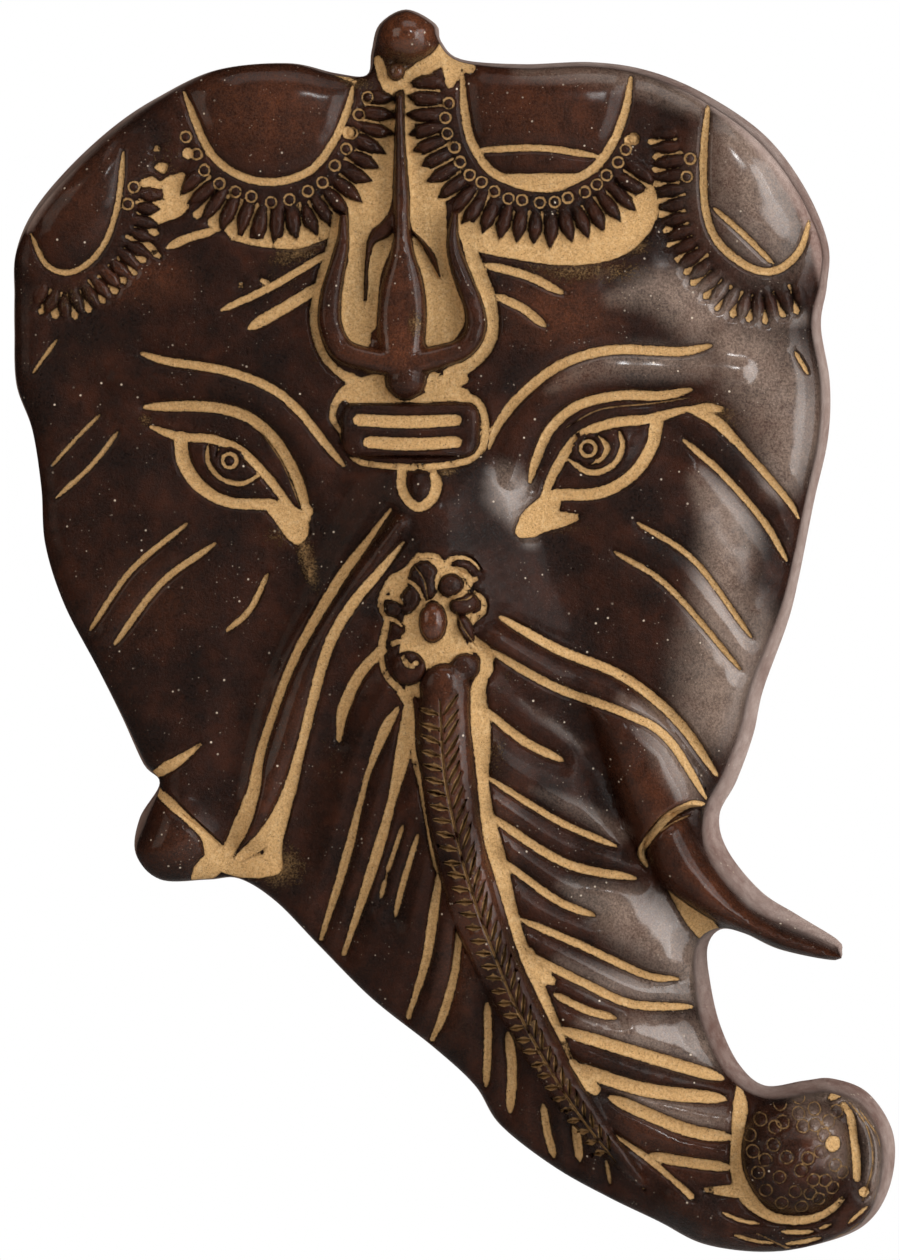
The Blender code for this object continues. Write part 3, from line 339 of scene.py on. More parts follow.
# Pigment left in hollows: points with a width
PATCHES = {
    "garland_right": [
        (462, 226, 14), (476, 238, 26), (520, 246, 30), (556, 249, 34), (590, 245, 40),
        (618, 234, 44), (640, 214, 34), (652, 190, 8)],
    "crest": [
        (378, 60, 10), (388, 84, 12), (410, 78, 16), (432, 62, 18), (452, 54, 16),
        (470, 68, 12)],
    "crest_right": [(440, 47, 12), (452, 66, 20), (450, 84, 10)],
    "middle_left": [
        (388, 92, 14), (387, 125, 13), (385, 150, 18), (377, 182, 32), (370, 204, 42),
        (362, 222, 26), (358, 242, 18)],
    "middle_right": [
        (409, 92, 9), (410, 125, 10), (411, 150, 15), (418, 175, 28), (426, 200, 38),
        (429, 225, 36), (431, 250, 34), (436, 275, 34), (442, 300, 36), (446, 320, 38),
        (437, 340, 24)],
    "prong_left": [
        (358, 240, 18), (357, 262, 18), (354, 285, 21), (353, 310, 24), (357, 328, 28),
        (363, 343, 16)],
    "prong_left_inner": [(393, 234, 4), (383, 248, 17), (376, 268, 15), (374, 288, 11),
                         (372, 306, 14), (368, 324, 20)],
    "outside_left": [
        (338, 220, 12), (330, 250, 8), (320, 285, 9), (314, 320, 8), (322, 352, 8),
        (338, 372, 8), (352, 380, 12)],
    "outside_right": [
        (462, 222, 10), (472, 256, 14), (486, 292, 15), (493, 322, 12), (488, 346, 12),
        (470, 366, 13), (450, 374, 14)],
    "plate_left": [
        (384, 384, 22), (364, 388, 20), (348, 392, 14), (337, 402, 8), (333, 418, 7),
        (341, 433, 3)],
    "plate_top": [(352, 396, 16), (384, 398, 14), (405, 404, 5), (430, 398, 12),
                  (450, 394, 16), (464, 396, 14)],
    "plate_knob_right": [(434, 376, 10), (430, 390, 12), (446, 384, 18), (464, 380, 10)],
    "plate_right": [
        (464, 397, 8), (478, 403, 8), (485, 420, 8), (484, 444, 8), (474, 457, 8),
        (458, 464, 7), (420, 468, 7), (380, 466, 6), (356, 460, 6), (343, 442, 4)],
    "eye_corner_left": [(270, 506, 12), (288, 517, 26), (297, 530, 26), (297, 542, 6)],
    "eye_corner_left_top": [(300, 520, 14), (309, 512, 10)],
    "eye_corner_right": [
        (556, 490, 14), (550, 503, 22), (536, 520, 30), (522, 531, 15)],
    "eye_corner_right_low": [(545, 522, 20), (566, 519, 14), (578, 517, 6)],
    "eye_smear_right": [(692, 410, 8), (706, 408, 10), (722, 410, 6)],
    "pupil_blob_right": [(576, 442, 5), (582, 447, 8), (590, 452, 6)],
    "flower_left": [
        (418, 556, 6), (408, 570, 8), (392, 580, 8), (384, 592, 6), (381, 606, 6),
        (387, 620, 6), (384, 636, 8), (381, 652, 6), (386, 674, 6), (400, 690, 8),
        (408, 704, 8)],
    "flower_top": [(419, 557, 5), (432, 556, 6), (441, 561, 6), (444, 570, 6)],
    "flower_ground": [
        (404, 590, 30), (426, 584, 50), (440, 600, 62), (436, 626, 66), (430, 650, 60),
        (436, 664, 76)],
    "flower_line_top": [(446, 568, 6), (450, 560, 6), (464, 558, 4), (474, 563, 3),
                        (480, 571, 2)],
    "flower_line_right": [(452, 569, 5), (464, 573, 7), (470, 584, 6), (462, 594, 5),
                          (448, 600, 4)],
    "flower_dot": [(473, 580, 5), (477, 579, 4)],
    "flower_right": [
        (474, 592, 3), (483, 600, 6), (483, 612, 6), (472, 620, 8), (468, 632, 7),
        (476, 644, 12), (486, 654, 14), (487, 670, 12)],
    "flower_line_cup_left": [(424, 606, 3), (414, 615, 6), (411, 628, 8), (416, 642, 5)],
    "flower_line_cup_right": [(442, 602, 4), (449, 612, 4), (452, 628, 7), (447, 642, 5)],
    "flower_line_1": [(401, 582, 4), (410, 582, 4), (419, 590, 4), (425, 604, 3)],
    "flower_line_2": [(401, 584, 3), (400, 593, 2)],
    "flower_line_3": [(440, 572, 3), (437, 581, 5), (437, 590, 2)],
    "flower_line_4": [(385, 598, 4), (396, 598, 5), (403, 604, 2)],
    "flower_line_5": [(387, 619, 5), (395, 620, 5), (402, 626, 2)],
    "flower_under": [(392, 644, 6), (403, 641, 5), (416, 647, 6), (434, 652, 8),
                     (452, 650, 7), (470, 652, 4)],
    "flower_base": [(436, 656, 14), (444, 666, 22), (455, 662, 18)],
    "flower_line_hook": [(403, 656, 4), (407, 664, 6), (414, 667, 3)],
    "band_right": [
        (488, 655, 12), (484, 672, 12), (478, 692, 16), (480, 720, 20), (482, 750, 17),
        (483, 780, 12), (486, 808, 13), (492, 838, 17), (499, 862, 17), (506, 890, 14),
        (514, 920, 12), (525, 954, 12), (541, 990, 11), (557, 1026, 8), (570, 1056, 4)],
    "band_left": [
        (408, 690, 7), (411, 718, 8), (413, 748, 6), (422, 790, 5), (430, 832, 6),
        (438, 862, 10), (448, 888, 7), (458, 912, 8), (466, 944, 5), (482, 976, 6)],
    "rib_root_5": [(528, 952, 12), (540, 972, 16), (552, 980, 8)],
    "rib_root_9": [(572, 1062, 10), (584, 1076, 16), (594, 1088, 12)],
    "tusk_under": [
        (668, 886, 4), (680, 901, 12), (694, 917, 20), (708, 931, 22), (718, 938, 12)],
    "trunk_edge": [(712, 932, 6), (706, 944, 7), (704, 962, 4), (704, 985, 2)],
    "stump": [(156, 790, 8), (170, 802, 10), (190, 820, 8), (206, 836, 10), (214, 850, 20)],
    "stump_low": [(222, 856, 16), (208, 868, 24), (196, 878, 10)],
    "sheath_foot": [(222, 862, 20), (240, 870, 16), (262, 866, 24), (274, 866, 18)],
    "sheath_foot_right": [(272, 862, 22), (276, 842, 14), (284, 818, 10), (290, 802, 6)],
    "stump_fold": [(152, 776, 7), (166, 768, 12), (184, 757, 9), (201, 744, 3)],
    "ball_left": [
        (738, 1084, 3), (740, 1104, 15), (737, 1130, 13), (735, 1160, 12), (741, 1186, 16),
        (753, 1203, 14), (770, 1215, 10), (795, 1219, 9), (816, 1216, 8), (832, 1207, 7),
        (842, 1197, 5)],
    "ball_spike": [(704, 1188, 4), (722, 1189, 11), (742, 1190, 14)],
    "ball_right": [
        (843, 1104, 6), (850, 1116, 8), (853, 1137, 8), (856, 1160, 9), (856, 1177, 8)],
    "scroll_top": [(829, 1099, 5), (838, 1093, 9), (846, 1090, 5)],
    "scroll_notch": [(752, 1089, 5), (757, 1094, 5)],
    "garland_between": [(182, 176, 8), (172, 190, 18), (178, 204, 24), (160, 216, 16),
                        (150, 226, 6)],
    "garland_between_bar": [(143, 201, 8), (156, 203, 6), (170, 204, 8)],
    "garland_between_top": [(144, 184, 9), (152, 182, 10), (160, 186, 8), (172, 180, 10)],
    "forehead_dot_1": [(240, 286, 5), (243, 286, 5)],
    "forehead_dot_2": [(261, 280, 4), (266, 283, 7), (270, 286, 4)],
    "garland_spot_1": [(158, 167, 8), (164, 168, 11), (162, 173, 5)],
    "garland_spot_2": [(155, 149, 5), (159, 149, 6)],
    "garland_spot_3": [(128, 237, 4), (134, 240, 5), (139, 243, 4)],
    "garland_spot_4": [(151, 246, 6), (156, 254, 7), (161, 258, 4)],
    "garland_left_low": [(232, 238, 6), (262, 244, 8), (296, 243, 14), (320, 232, 20)],
    "garland_left_end": [(212, 222, 8), (218, 228, 10)],
    "garland_right_dot": [(628, 140, 9), (634, 139, 8)],
    "lobe_right_foot": [(508, 178, 7), (540, 180, 12), (575, 177, 6)],
    "knob_streak": [(318, 69, 3), (338, 74, 5), (356, 82, 4)],
}

# Soft smears of pigment dust: centre, half sizes, turn and strength
SMEARS = {
    "under_left_garland": (300, 252, 44, 16, -20, 0.8),
    "above_brow_left": (285, 275, 60, 40, -30, 0.35),
    "under_right_garland": (585, 272, 90, 18, 0, 0.7),
    "corner_right_garland": (630, 246, 26, 14, 0, 0.9),
    "crest": (410, 64, 50, 30, 0, 0.6),
    "crest_left": (352, 80, 34, 12, 20, 0.7),
    "eye_drip_left": (308, 560, 12, 44, -14, 0.9),
    "eye_left_corner": (280, 536, 22, 16, 0, 0.6),
    "eye_left_pit": (146, 420, 10, 10, 0, 0.7),
    "eye_right_corner": (560, 528, 40, 12, 0, 0.5),
    "eye_smear_right": (716, 414, 40, 18, 20, 0.7),
    "plate_low": (446, 472, 18, 8, 0, 0.8),
    "rib_1_foot": (496, 750, 16, 40, 0, 0.5),
    "flower_right": (500, 680, 24, 50, 0, 0.35),
    "sheath_foot": (280, 866, 34, 30, 0, 0.8),
    "side_left": (330, 760, 40, 60, 0, 0.3),
    "lobe_far_left": (70, 300, 70, 30, -10, 0.45),
    "wall_socket": (712, 816, 16, 30, 0, 0.7),
    "trunk_low_left": (470, 1030, 60, 80, -40, 0.25),
    "trident_left": (316, 350, 16, 40, 0, 0.4),
    "blade_right": (416, 326, 12, 20, 0, 0.8),
    "temple_left": (90, 350, 80, 60, 0, 0.25),
    "lobe_left_side": (165, 170, 40, 60, 0, 0.4),
}

# Warm red-brown places, rubbed by hands: centre, half sizes, turn and strength
WARM = {
    "lobe_left": (270, 110, 90, 60, 0, 0.55),
    "lobe_right": (545, 110, 90, 55, 0, 0.40),
    "lobe_far_left": (90, 190, 50, 70, 40, 0.30),
    "knob": (408, 34, 34, 30, 0, 1.4),
    "forehead_right": (560, 312, 60, 40, 0, 0.60),
    "trident_foot": (400, 350, 60, 24, 0, 0.60),
    "trident_blade": (402, 290, 30, 90, 0, 0.45),
    "stroke_right": (560, 380, 50, 24, -30, 0.30),
    "bud": (433, 626, 16, 20, 0, 1.2),
    "sheath_right": (650, 790, 30, 60, -30, 0.45),
    "tusk": (715, 890, 60, 26, 45, 0.40),
    "sheath_left": (280, 740, 30, 100, 15, 0.30),
    "stump": (180, 846, 30, 24, 0, 0.35),
    "garland_low_left": (140, 280, 60, 26, 0, 0.5),
    "cheek_left": (150, 600, 60, 50, 0, 0.25),
    "trunk_low": (660, 1140, 60, 30, 20, 0.35),
    "ball": (800, 1150, 40, 40, 0, 0.25),
    "strap": (450, 740, 22, 80, 0, 0.8),
    "strap_low": (480, 900, 26, 130, 16, 0.7),
    "crest_bead": (396, 72, 10, 10, 0, 0.9),
}

# Garlands: centre of the lobe above, number of petals, petal length and rise, widths of the
# lines between them at the neck and at the outer end, and the petals' row
GARLANDS = {
    "left": ((270, 100), 18, 34, 1.0, 2.2, 10.5, [
        (381, 98), (377, 130), (366, 158), (350, 188), (330, 208), (304, 222), (270, 225),
        (238, 217), (212, 204), (192, 182)]),
    "far_left": ((80, 190), 14, 24, 0.5, 1.4, 7.5, [
        (40, 296), (62, 306), (86, 298), (106, 284), (122, 268), (136, 250), (146, 224),
        (150, 196)]),
    "right": ((548, 100), 22, 34, 1.0, 1.8, 6.5, [
        (425, 82), (424, 128), (432, 152), (448, 182), (468, 206), (498, 222), (532, 229),
        (568, 228), (600, 215), (624, 196), (640, 172)]),
    "far_right": ((762, 170), 19, 26, 0.5, 1.4, 7.5, [
        (664, 134), (668, 172), (673, 214), (684, 246), (702, 274), (726, 298), (758, 308),
        (800, 297)]),
}
RING_ROWS = {
    "left": (15, [
        (366, 98), (356, 125), (341, 158), (315, 189), (280, 202), (245, 196), (212, 178),
        (186, 138)]),
    "right": (19, [
        (447, 104), (447, 129), (460, 162), (484, 186), (518, 201), (556, 202), (591, 189),
        (612, 170), (634, 138)]),
    "far_right": (2, [(688, 160), (687, 178)]),
    "far_left": (2, [(133, 188), (129, 205)]),
}
PETAL_WIDTH = 14.5

# Punched rings: radius, width of the line, depth in millimetres, and the shares of the line's
# width for its cut, for the pigment on the garlands and for the painted highlight on the ball
RING_RADIUS = 5.4
RING_LINE = 2.3
RING_DEPTH = 0.45
RING_CUT = 0.8
RING_PIGMENT = 0.45
BALL_RING_HIGHLIGHT = 0.30

# Faces beside the front that get the rim wall's painted reflection of the pale surroundings:
# points with a width
PAINTED_SIDE_REFLECTIONS = {
    "far_right": [
        (640, 64, 8), (700, 92, 18), (745, 122, 26), (785, 168, 26), (812, 220, 22),
        (826, 280, 14)],
    "far_left": [(206, 70, 6), (150, 100, 8), (98, 140, 11), (56, 186, 11), (28, 228, 8)],
    "tusk": [
        (716, 818, 10), (722, 848, 34), (742, 880, 40), (775, 907, 26), (812, 930, 14),
        (835, 944, 8)],
    "trunk": [(712, 940, 14), (710, 990, 14), (726, 1040, 12), (745, 1075, 10)],
}

# Painted sheen: places painted paler where the lights would gloss the surface, and made glossier:
# points with a width
PAINTED_SHEEN = {
    "lobe_far_right": [(742, 118, 30), (752, 150, 70), (762, 190, 88), (772, 232, 64)],
    "garland_far_right": [(720, 300, 12), (756, 322, 16), (800, 318, 14)],
    "brow_band": [(548, 392, 8), (584, 370, 20), (640, 362, 26), (702, 366, 24)],
    "temple_top": [(610, 300, 14), (660, 292, 34), (704, 312, 50)],
    "temple": [(716, 334, 24), (756, 366, 60), (786, 420, 60), (782, 480, 30)],
    "cheek": [(700, 480, 20), (728, 530, 40), (722, 590, 44), (728, 650, 70), (714, 712, 56)],
    "sheath": [(622, 700, 12), (656, 726, 26), (680, 768, 30), (694, 800, 16)],
    "nose": [(502, 476, 22), (510, 492, 34), (518, 512, 24), (530, 540, 14)],
    "trunk_0": [(520, 700, 4), (552, 724, 8), (584, 748, 6)],
    "trunk_1": [(530, 788, 6), (576, 808, 14), (622, 834, 14)],
    "trunk_2": [(560, 884, 10), (600, 902, 28), (650, 930, 50), (690, 966, 40)],
    "trunk_3": [(560, 962, 14), (610, 984, 24), (670, 992, 28), (700, 994, 20)],
    "trunk_4": [(580, 1022, 12), (640, 1032, 32), (704, 1046, 40)],
    "trunk_5": [(610, 1078, 10), (660, 1106, 24), (716, 1118, 22)],
    "scroll": [(800, 1094, 20), (848, 1092, 26), (880, 1130, 26), (880, 1190, 26)],
    "lobe_right_top": [(520, 72, 14), (590, 74, 18), (650, 86, 22), (700, 104, 22)],
    "ball": [(800, 1110, 20), (826, 1130, 26), (836, 1160, 20)],
}

# Rings punched on the ball
BALL_RINGS = [
    (759, 1117), (773, 1124), (781, 1119), (797, 1111), (813, 1107), (801, 1123), (813, 1122),
    (798, 1096), (779, 1102), (771, 1141), (784, 1153), (763, 1156), (751, 1148), (805, 1154),
    (818, 1148), (756, 1169), (798, 1166), (777, 1173), (811, 1176), (823, 1177), (831, 1185),
    (808, 1190), (817, 1196), (793, 1188), (780, 1200), (827, 1119), (836, 1110), (833, 1162),
    (841, 1170), (748, 1132), (764, 1187), (800, 1204), (822, 1132),
]
BALL_RING_RADIUS = 6.3

# Dots of pigment, and rings of it in the eyes: centre and radius
DOTS = [(831, 1141, 8.0), (863, 1191, 5.5), (416, 663, 3.0), (348, 133, 6.5), (188, 154, 6.0)]
PUPILS = [(230, 461, 7.0), (588, 449, 7.5)]
PUPIL_LINE = 4.0

# The strap's centre line and its notches, with depths in millimetres. The row of each side says
# a notch's trace, its side, how far from the line it starts and ends, and its slant and wobble.
# The pale traces along the strap's cuts are partly pigment and partly painted glints
STRAP_CENTRE = [
    (440, 700), (443, 760), (449, 800), (462, 858), (477, 907), (496, 958), (515, 1004),
    (545, 1060), (578, 1112), (615, 1160)]
STRAP_LINE_WIDTH = 3.4
STRAP_LINE_DEPTH = 0.8
STRAP_LINE_TRACE = 0.8
NOTCH_PITCH = 13.5
NOTCH_WIDTHS = (2.2, 5.0, 1.6)
NOTCH_DEPTH = 1.8
NOTCH_SIDES = ((1.5, -1, 3, 21, 7, 2), (1.0, 1, 3.5, 18, 20, 3))

# Troughs along the carved lines: depth in millimetres and width
DEEP_TROUGH = (1.5, 21)
LOW_TROUGH = (0.7, 20)

# Ground under the pigment: share of the depth that is won between two distances inside the edge
GROOVE_PROFILE = ((0.72, -2.6, -0.4), (0.28, -0.4, 6.0))

# Unevenness of the cast: size on the sheet, layer of the noise and rise in millimetres
UNEVENNESS = ((46, 3.1, 0.20), (13, 7.7, 0.06))

# Lines and patches whose names start so are cut into the raised forms, not into the ground
ON_TOP = ("plate", "iris", "pupil", "eye_", "socket")
PATCHES_ON_TOP = "flower_line"

# Rings of the rim wall: shares of the way outward and back, and of the wall's painted reflection
WALL_RINGS = ((0.10, 0.10, 0.35), (0.28, 0.32, 0.75), (0.62, 0.66, 1.0), (1.0, 1.0, 1.0))

# Masks of the wall and the back, which hold no pigment
BARE = {"pigment_gap": 15.0, "faint_gap": 15.0, "worn": 0.0, "dust": 0.1, "haze": 0.0}

# Stage: middle and height of the frame on the sheet, distance of the middle from the wall,
# height of the film in millimetres, and half the floor's size
FRAME_CENTRE = (450, 630)
FRAME_HEIGHT = 1260
FOCUS_DEPTH = 0.012
FILM_HEIGHT = 36.0
FLOOR_HALF_SIZE = 1.3

# Lights: place (across from the frame's middle, along y, up from the middle), size and tint.
# The stage holds the power of each.
LIGHTS = {
    "sheen": ((0.76, -0.93, 0.22), (0.36, 0.8), (1.0, 0.97, 0.95)),
    "key": ((1.00, -0.52, 0.25), (0.7, 1.1), (1.0, 0.98, 0.97)),
    "glint": ((0.42, -1.25, 0.62), (0.10, 0.10), (1.0, 1.0, 1.0)),
    "fill": ((-0.85, -0.62, 0.35), (0.6, 0.8), (1.0, 0.86, 0.74)),
    "top": ((0.1, -0.45, 0.95), (1.0, 0.5), (1.0, 0.98, 0.96)),
}


def on_sheet(points):
    """Points of a list as an array."""
    return np.array(points, dtype=float)


def in_space(u, v, depth):
    """Place in front of the wall of a point of the sheet."""
    return ((u - HANG_POINT[0]) * UNIT, -depth, (HANG_POINT[1] - v) * UNIT)


def on_plan(vertex):
    """Point of the sheet that a vertex is over."""
    return (vertex.co.x / UNIT + HANG_POINT[0], HANG_POINT[1] - vertex.co.z / UNIT)


def smooth(points, step, closed=False):
    """Points about one step apart on the smooth curve through the rows."""
    rows = on_sheet(points)
    count = len(rows)
    curve = []
    for index in range(count if closed else count - 1):
        if closed:
            before, start, end, after = (rows[(index + k) % count] for k in (-1, 0, 1, 2))
        else:
            start, end = rows[index], rows[index + 1]
            before = rows[index - 1] if index else 2 * start - end
            after = rows[index + 2] if index + 2 < count else 2 * end - start
        parts = max(1, round(np.linalg.norm((end - start)[:2]) / step))
        for k in range(parts):
            t = k / parts
            curve.append(0.5 * (
                2 * start + (end - before) * t
                + (2 * before - 5 * start + 4 * end - after) * t * t
                + (3 * start - before - 3 * end + after) * t ** 3))
    if not closed:
        curve.append(rows[-1])
    return np.array(curve)


def sides(curve, closed=False):
    """Unit normals, to one side of the way along the curve."""
    if closed:
        along = np.roll(curve, -1, axis=0) - np.roll(curve, 1, axis=0)
    else:
        along = np.gradient(curve, axis=0)
    along = along[:, :2] / np.linalg.norm(along[:, :2], axis=1)[:, None]
    return np.stack([along[:, 1], -along[:, 0]], axis=1)


def close_to(spots, curve, margin):
    """Indices of the spots in the box round a curve."""
    low = curve[:, :2].min(axis=0) - margin
    high = curve[:, :2].max(axis=0) + margin
    return np.flatnonzero(np.all((spots > low) & (spots < high), axis=1))


def reach(spots, curve, closed=False):
    """Distance of each spot from the curve, and the curve's half width at the nearest point."""
    ends = np.roll(curve, -1, axis=0) if closed else curve[1:]
    starts = curve if closed else curve[:-1]
    nearest = np.full(len(spots), 1e9)
    half = np.ones(len(spots))
    for start, end in zip(starts, ends):
        way = (end - start)[:2]
        t = np.clip((spots - start[:2]) @ way / max(way @ way, 1e-12), 0, 1)
        gap = np.hypot(*(spots - start[:2] - t[:, None] * way).T)
        if len(start) > 2:
            width = 0.5 * (start[2] + (end[2] - start[2]) * t)
            closer = gap - width < nearest - half if nearest[0] < 1e8 else gap < 1e9
            half = np.where(closer, width, half)
        else:
            closer = gap < nearest
        nearest = np.where(closer, gap, nearest)
    return nearest, half


def turned(spots, centre, half_sizes, turn):
    """Radius of each spot in the frame of an ellipse, where its edge is at 1."""
    angle = math.radians(turn)
    axes = np.array([[math.cos(angle), -math.sin(angle)], [math.sin(angle), math.cos(angle)]])
    local = (spots - np.array(centre)) @ axes / np.array(half_sizes)
    return np.hypot(local[:, 0], local[:, 1])


def fade(value, start, end):
    """Smooth way from 0 at the start to 1 at the end."""
    t = np.clip((value - start) / (end - start), 0, 1)
    return t * t * (3 - 2 * t)


def hump(q):
    """Soft swell that fades out at q = 1."""
    return (1 - np.minimum(q, 1) ** 2) ** 2


def dome(q):
    """Round top with a steep foot at q = 1."""
    return np.sqrt(np.maximum(0, 1 - q * q))


def pillow(q):
    """Flat top with round shoulders and a steep foot at q = 1."""
    return np.sqrt(np.maximum(0, 1 - np.minimum(q, 1) ** 4))


def tapered(points, width):
    """Curve of a line, narrower towards both ends unless its points have widths."""
    curve = smooth(points, LINE_STEP)
    if curve.shape[1] > 2:
        return curve
    t = np.linspace(-1, 1, len(curve))
    return np.column_stack([curve, width * (1 - 0.6 * t ** 8)])


def wobble(seed, size):
    """Irregular offset of up to a size, the same at every run."""
    return size * math.sin(7.3 * seed + 1.7) * math.cos(2.9 * seed)


def edge_curves():
    """Front edge and back rim of the outline, point for point."""
    curve = smooth(OUTLINE, EDGE_STEP, closed=True)
    rim = curve[:, :2]
    outward = sides(rim, closed=True)
    return rim - outward * curve[:, 2:3], rim


class Petal:
    """One pear-shaped petal of a garland."""

    def __init__(self, centre, outward, length, rise):
        self.rise = rise
        self.centre = centre
        self.outward = outward
        self.across = np.array([-outward[1], outward[0]])
        self.length = length

    def width(self, along):
        """Half width of the petal from its root at -1 to its pointed tip at 1."""
        return 0.5 * PETAL_WIDTH * (1 - 0.55 * np.clip(along, 0, 1) ** 1.5)

    def radius(self, spots):
        """Radius of each spot in the petal's frame, where its edge is at 1."""
        offset = spots - self.centre
        along = offset @ self.outward / (0.5 * self.length)
        return np.hypot(along, offset @ self.across / self.width(along))

    def ring(self, radius, count):
        """Points round the petal at a share of its size."""
        angles = np.linspace(0, 2 * math.pi, count, endpoint=False)
        along = radius * np.cos(angles)
        return (self.centre + np.outer(0.5 * self.length * along, self.outward)
                + np.outer(self.width(along) * radius * np.sin(angles), self.across))


def turned_by(way, angle):
    """Direction turned by an angle."""
    across = np.array([-way[1], way[0]])
    return math.cos(angle) * way + math.sin(angle) * across


def garland_parts():
    """Petals and the thin lines between them, worked out along each garland."""
    petals, bones = [], []
    for lobe, count, length, rise, neck, blob, points in GARLANDS.values():
        curve = smooth(points, 1.0)
        outward = sides(curve)
        away = np.sum(outward * (curve - np.array(lobe)), axis=1) > 0
        outward = np.where(away[:, None], outward, -outward)
        places = np.linspace(0, len(curve) - 1, 2 * count - 1).round().astype(int)
        for k, index in enumerate(places):
            way = turned_by(outward[index], wobble(k + count, 0.16))
            centre = curve[index] + way * wobble(k + 0.4, 2.5)
            size = length * (1 + wobble(k + 0.8, 0.14))
            if k % 2 == 0:
                petals.append(Petal(centre, way, size, rise))
            else:
                inner, outer = -0.44 * size, 0.48 * size
                wide = blob * (1 + wobble(k, 0.3))
                bones.append(np.array([
                    (*(centre + way * inner), 3.6),
                    (*(centre + way * (inner + 5)), neck),
                    (*(centre + way * (outer - 12)), 1.2 * neck),
                    (*(centre + way * outer), wide)]))
    return petals, bones


def ring_centres():
    """Places of the rings punched above the petals."""
    centres = []
    for count, points in RING_ROWS.values():
        curve = smooth(points, 1.0)
        for k, index in enumerate(np.linspace(0, len(curve) - 1, count)):
            centres.append(curve[round(index)] + np.array([wobble(k, 1.6), wobble(k + 0.5, 1.6)]))
    return centres


def strap_notches():
    """Slanted cuts on both sides of the strap's centre line."""
    curve = smooth(STRAP_CENTRE, 1.0)
    notches = []
    for k in range(1, int(len(curve) / NOTCH_PITCH)):
        index = int(k * NOTCH_PITCH)
        small = 1 - 0.45 * index / len(curve)
        middle = curve[index]
        along = curve[min(index + 8, len(curve) - 1)] - curve[index - 8]
        along = along / np.linalg.norm(along)
        out = np.array([along[1], -along[0]])
        for trace, side, start, end, slant, shake in NOTCH_SIDES:
            back = (slant + wobble(k, shake)) * small * along
            notches.append((trace, middle + side * start * out,
                            middle + side * end * small * out - back))
    return notches


def notch_curve(start, end):
    """Curve of one notch, widest in its middle."""
    stations = (start, 0.5 * (start + end), end)
    return np.array([(*spot, width) for spot, width in zip(stations, NOTCH_WIDTHS)])


def plate_radius(spots):
    """Reach of each spot on the plate with round corners, where its edge is at 1."""
    inner = np.array(PLATE_SIZE) / 2 - PLATE_CORNER
    beyond = np.maximum(np.abs(spots - np.array(PLATE_CENTRE)) - inner, 0)
    return np.hypot(beyond[:, 0], beyond[:, 1]) / PLATE_CORNER


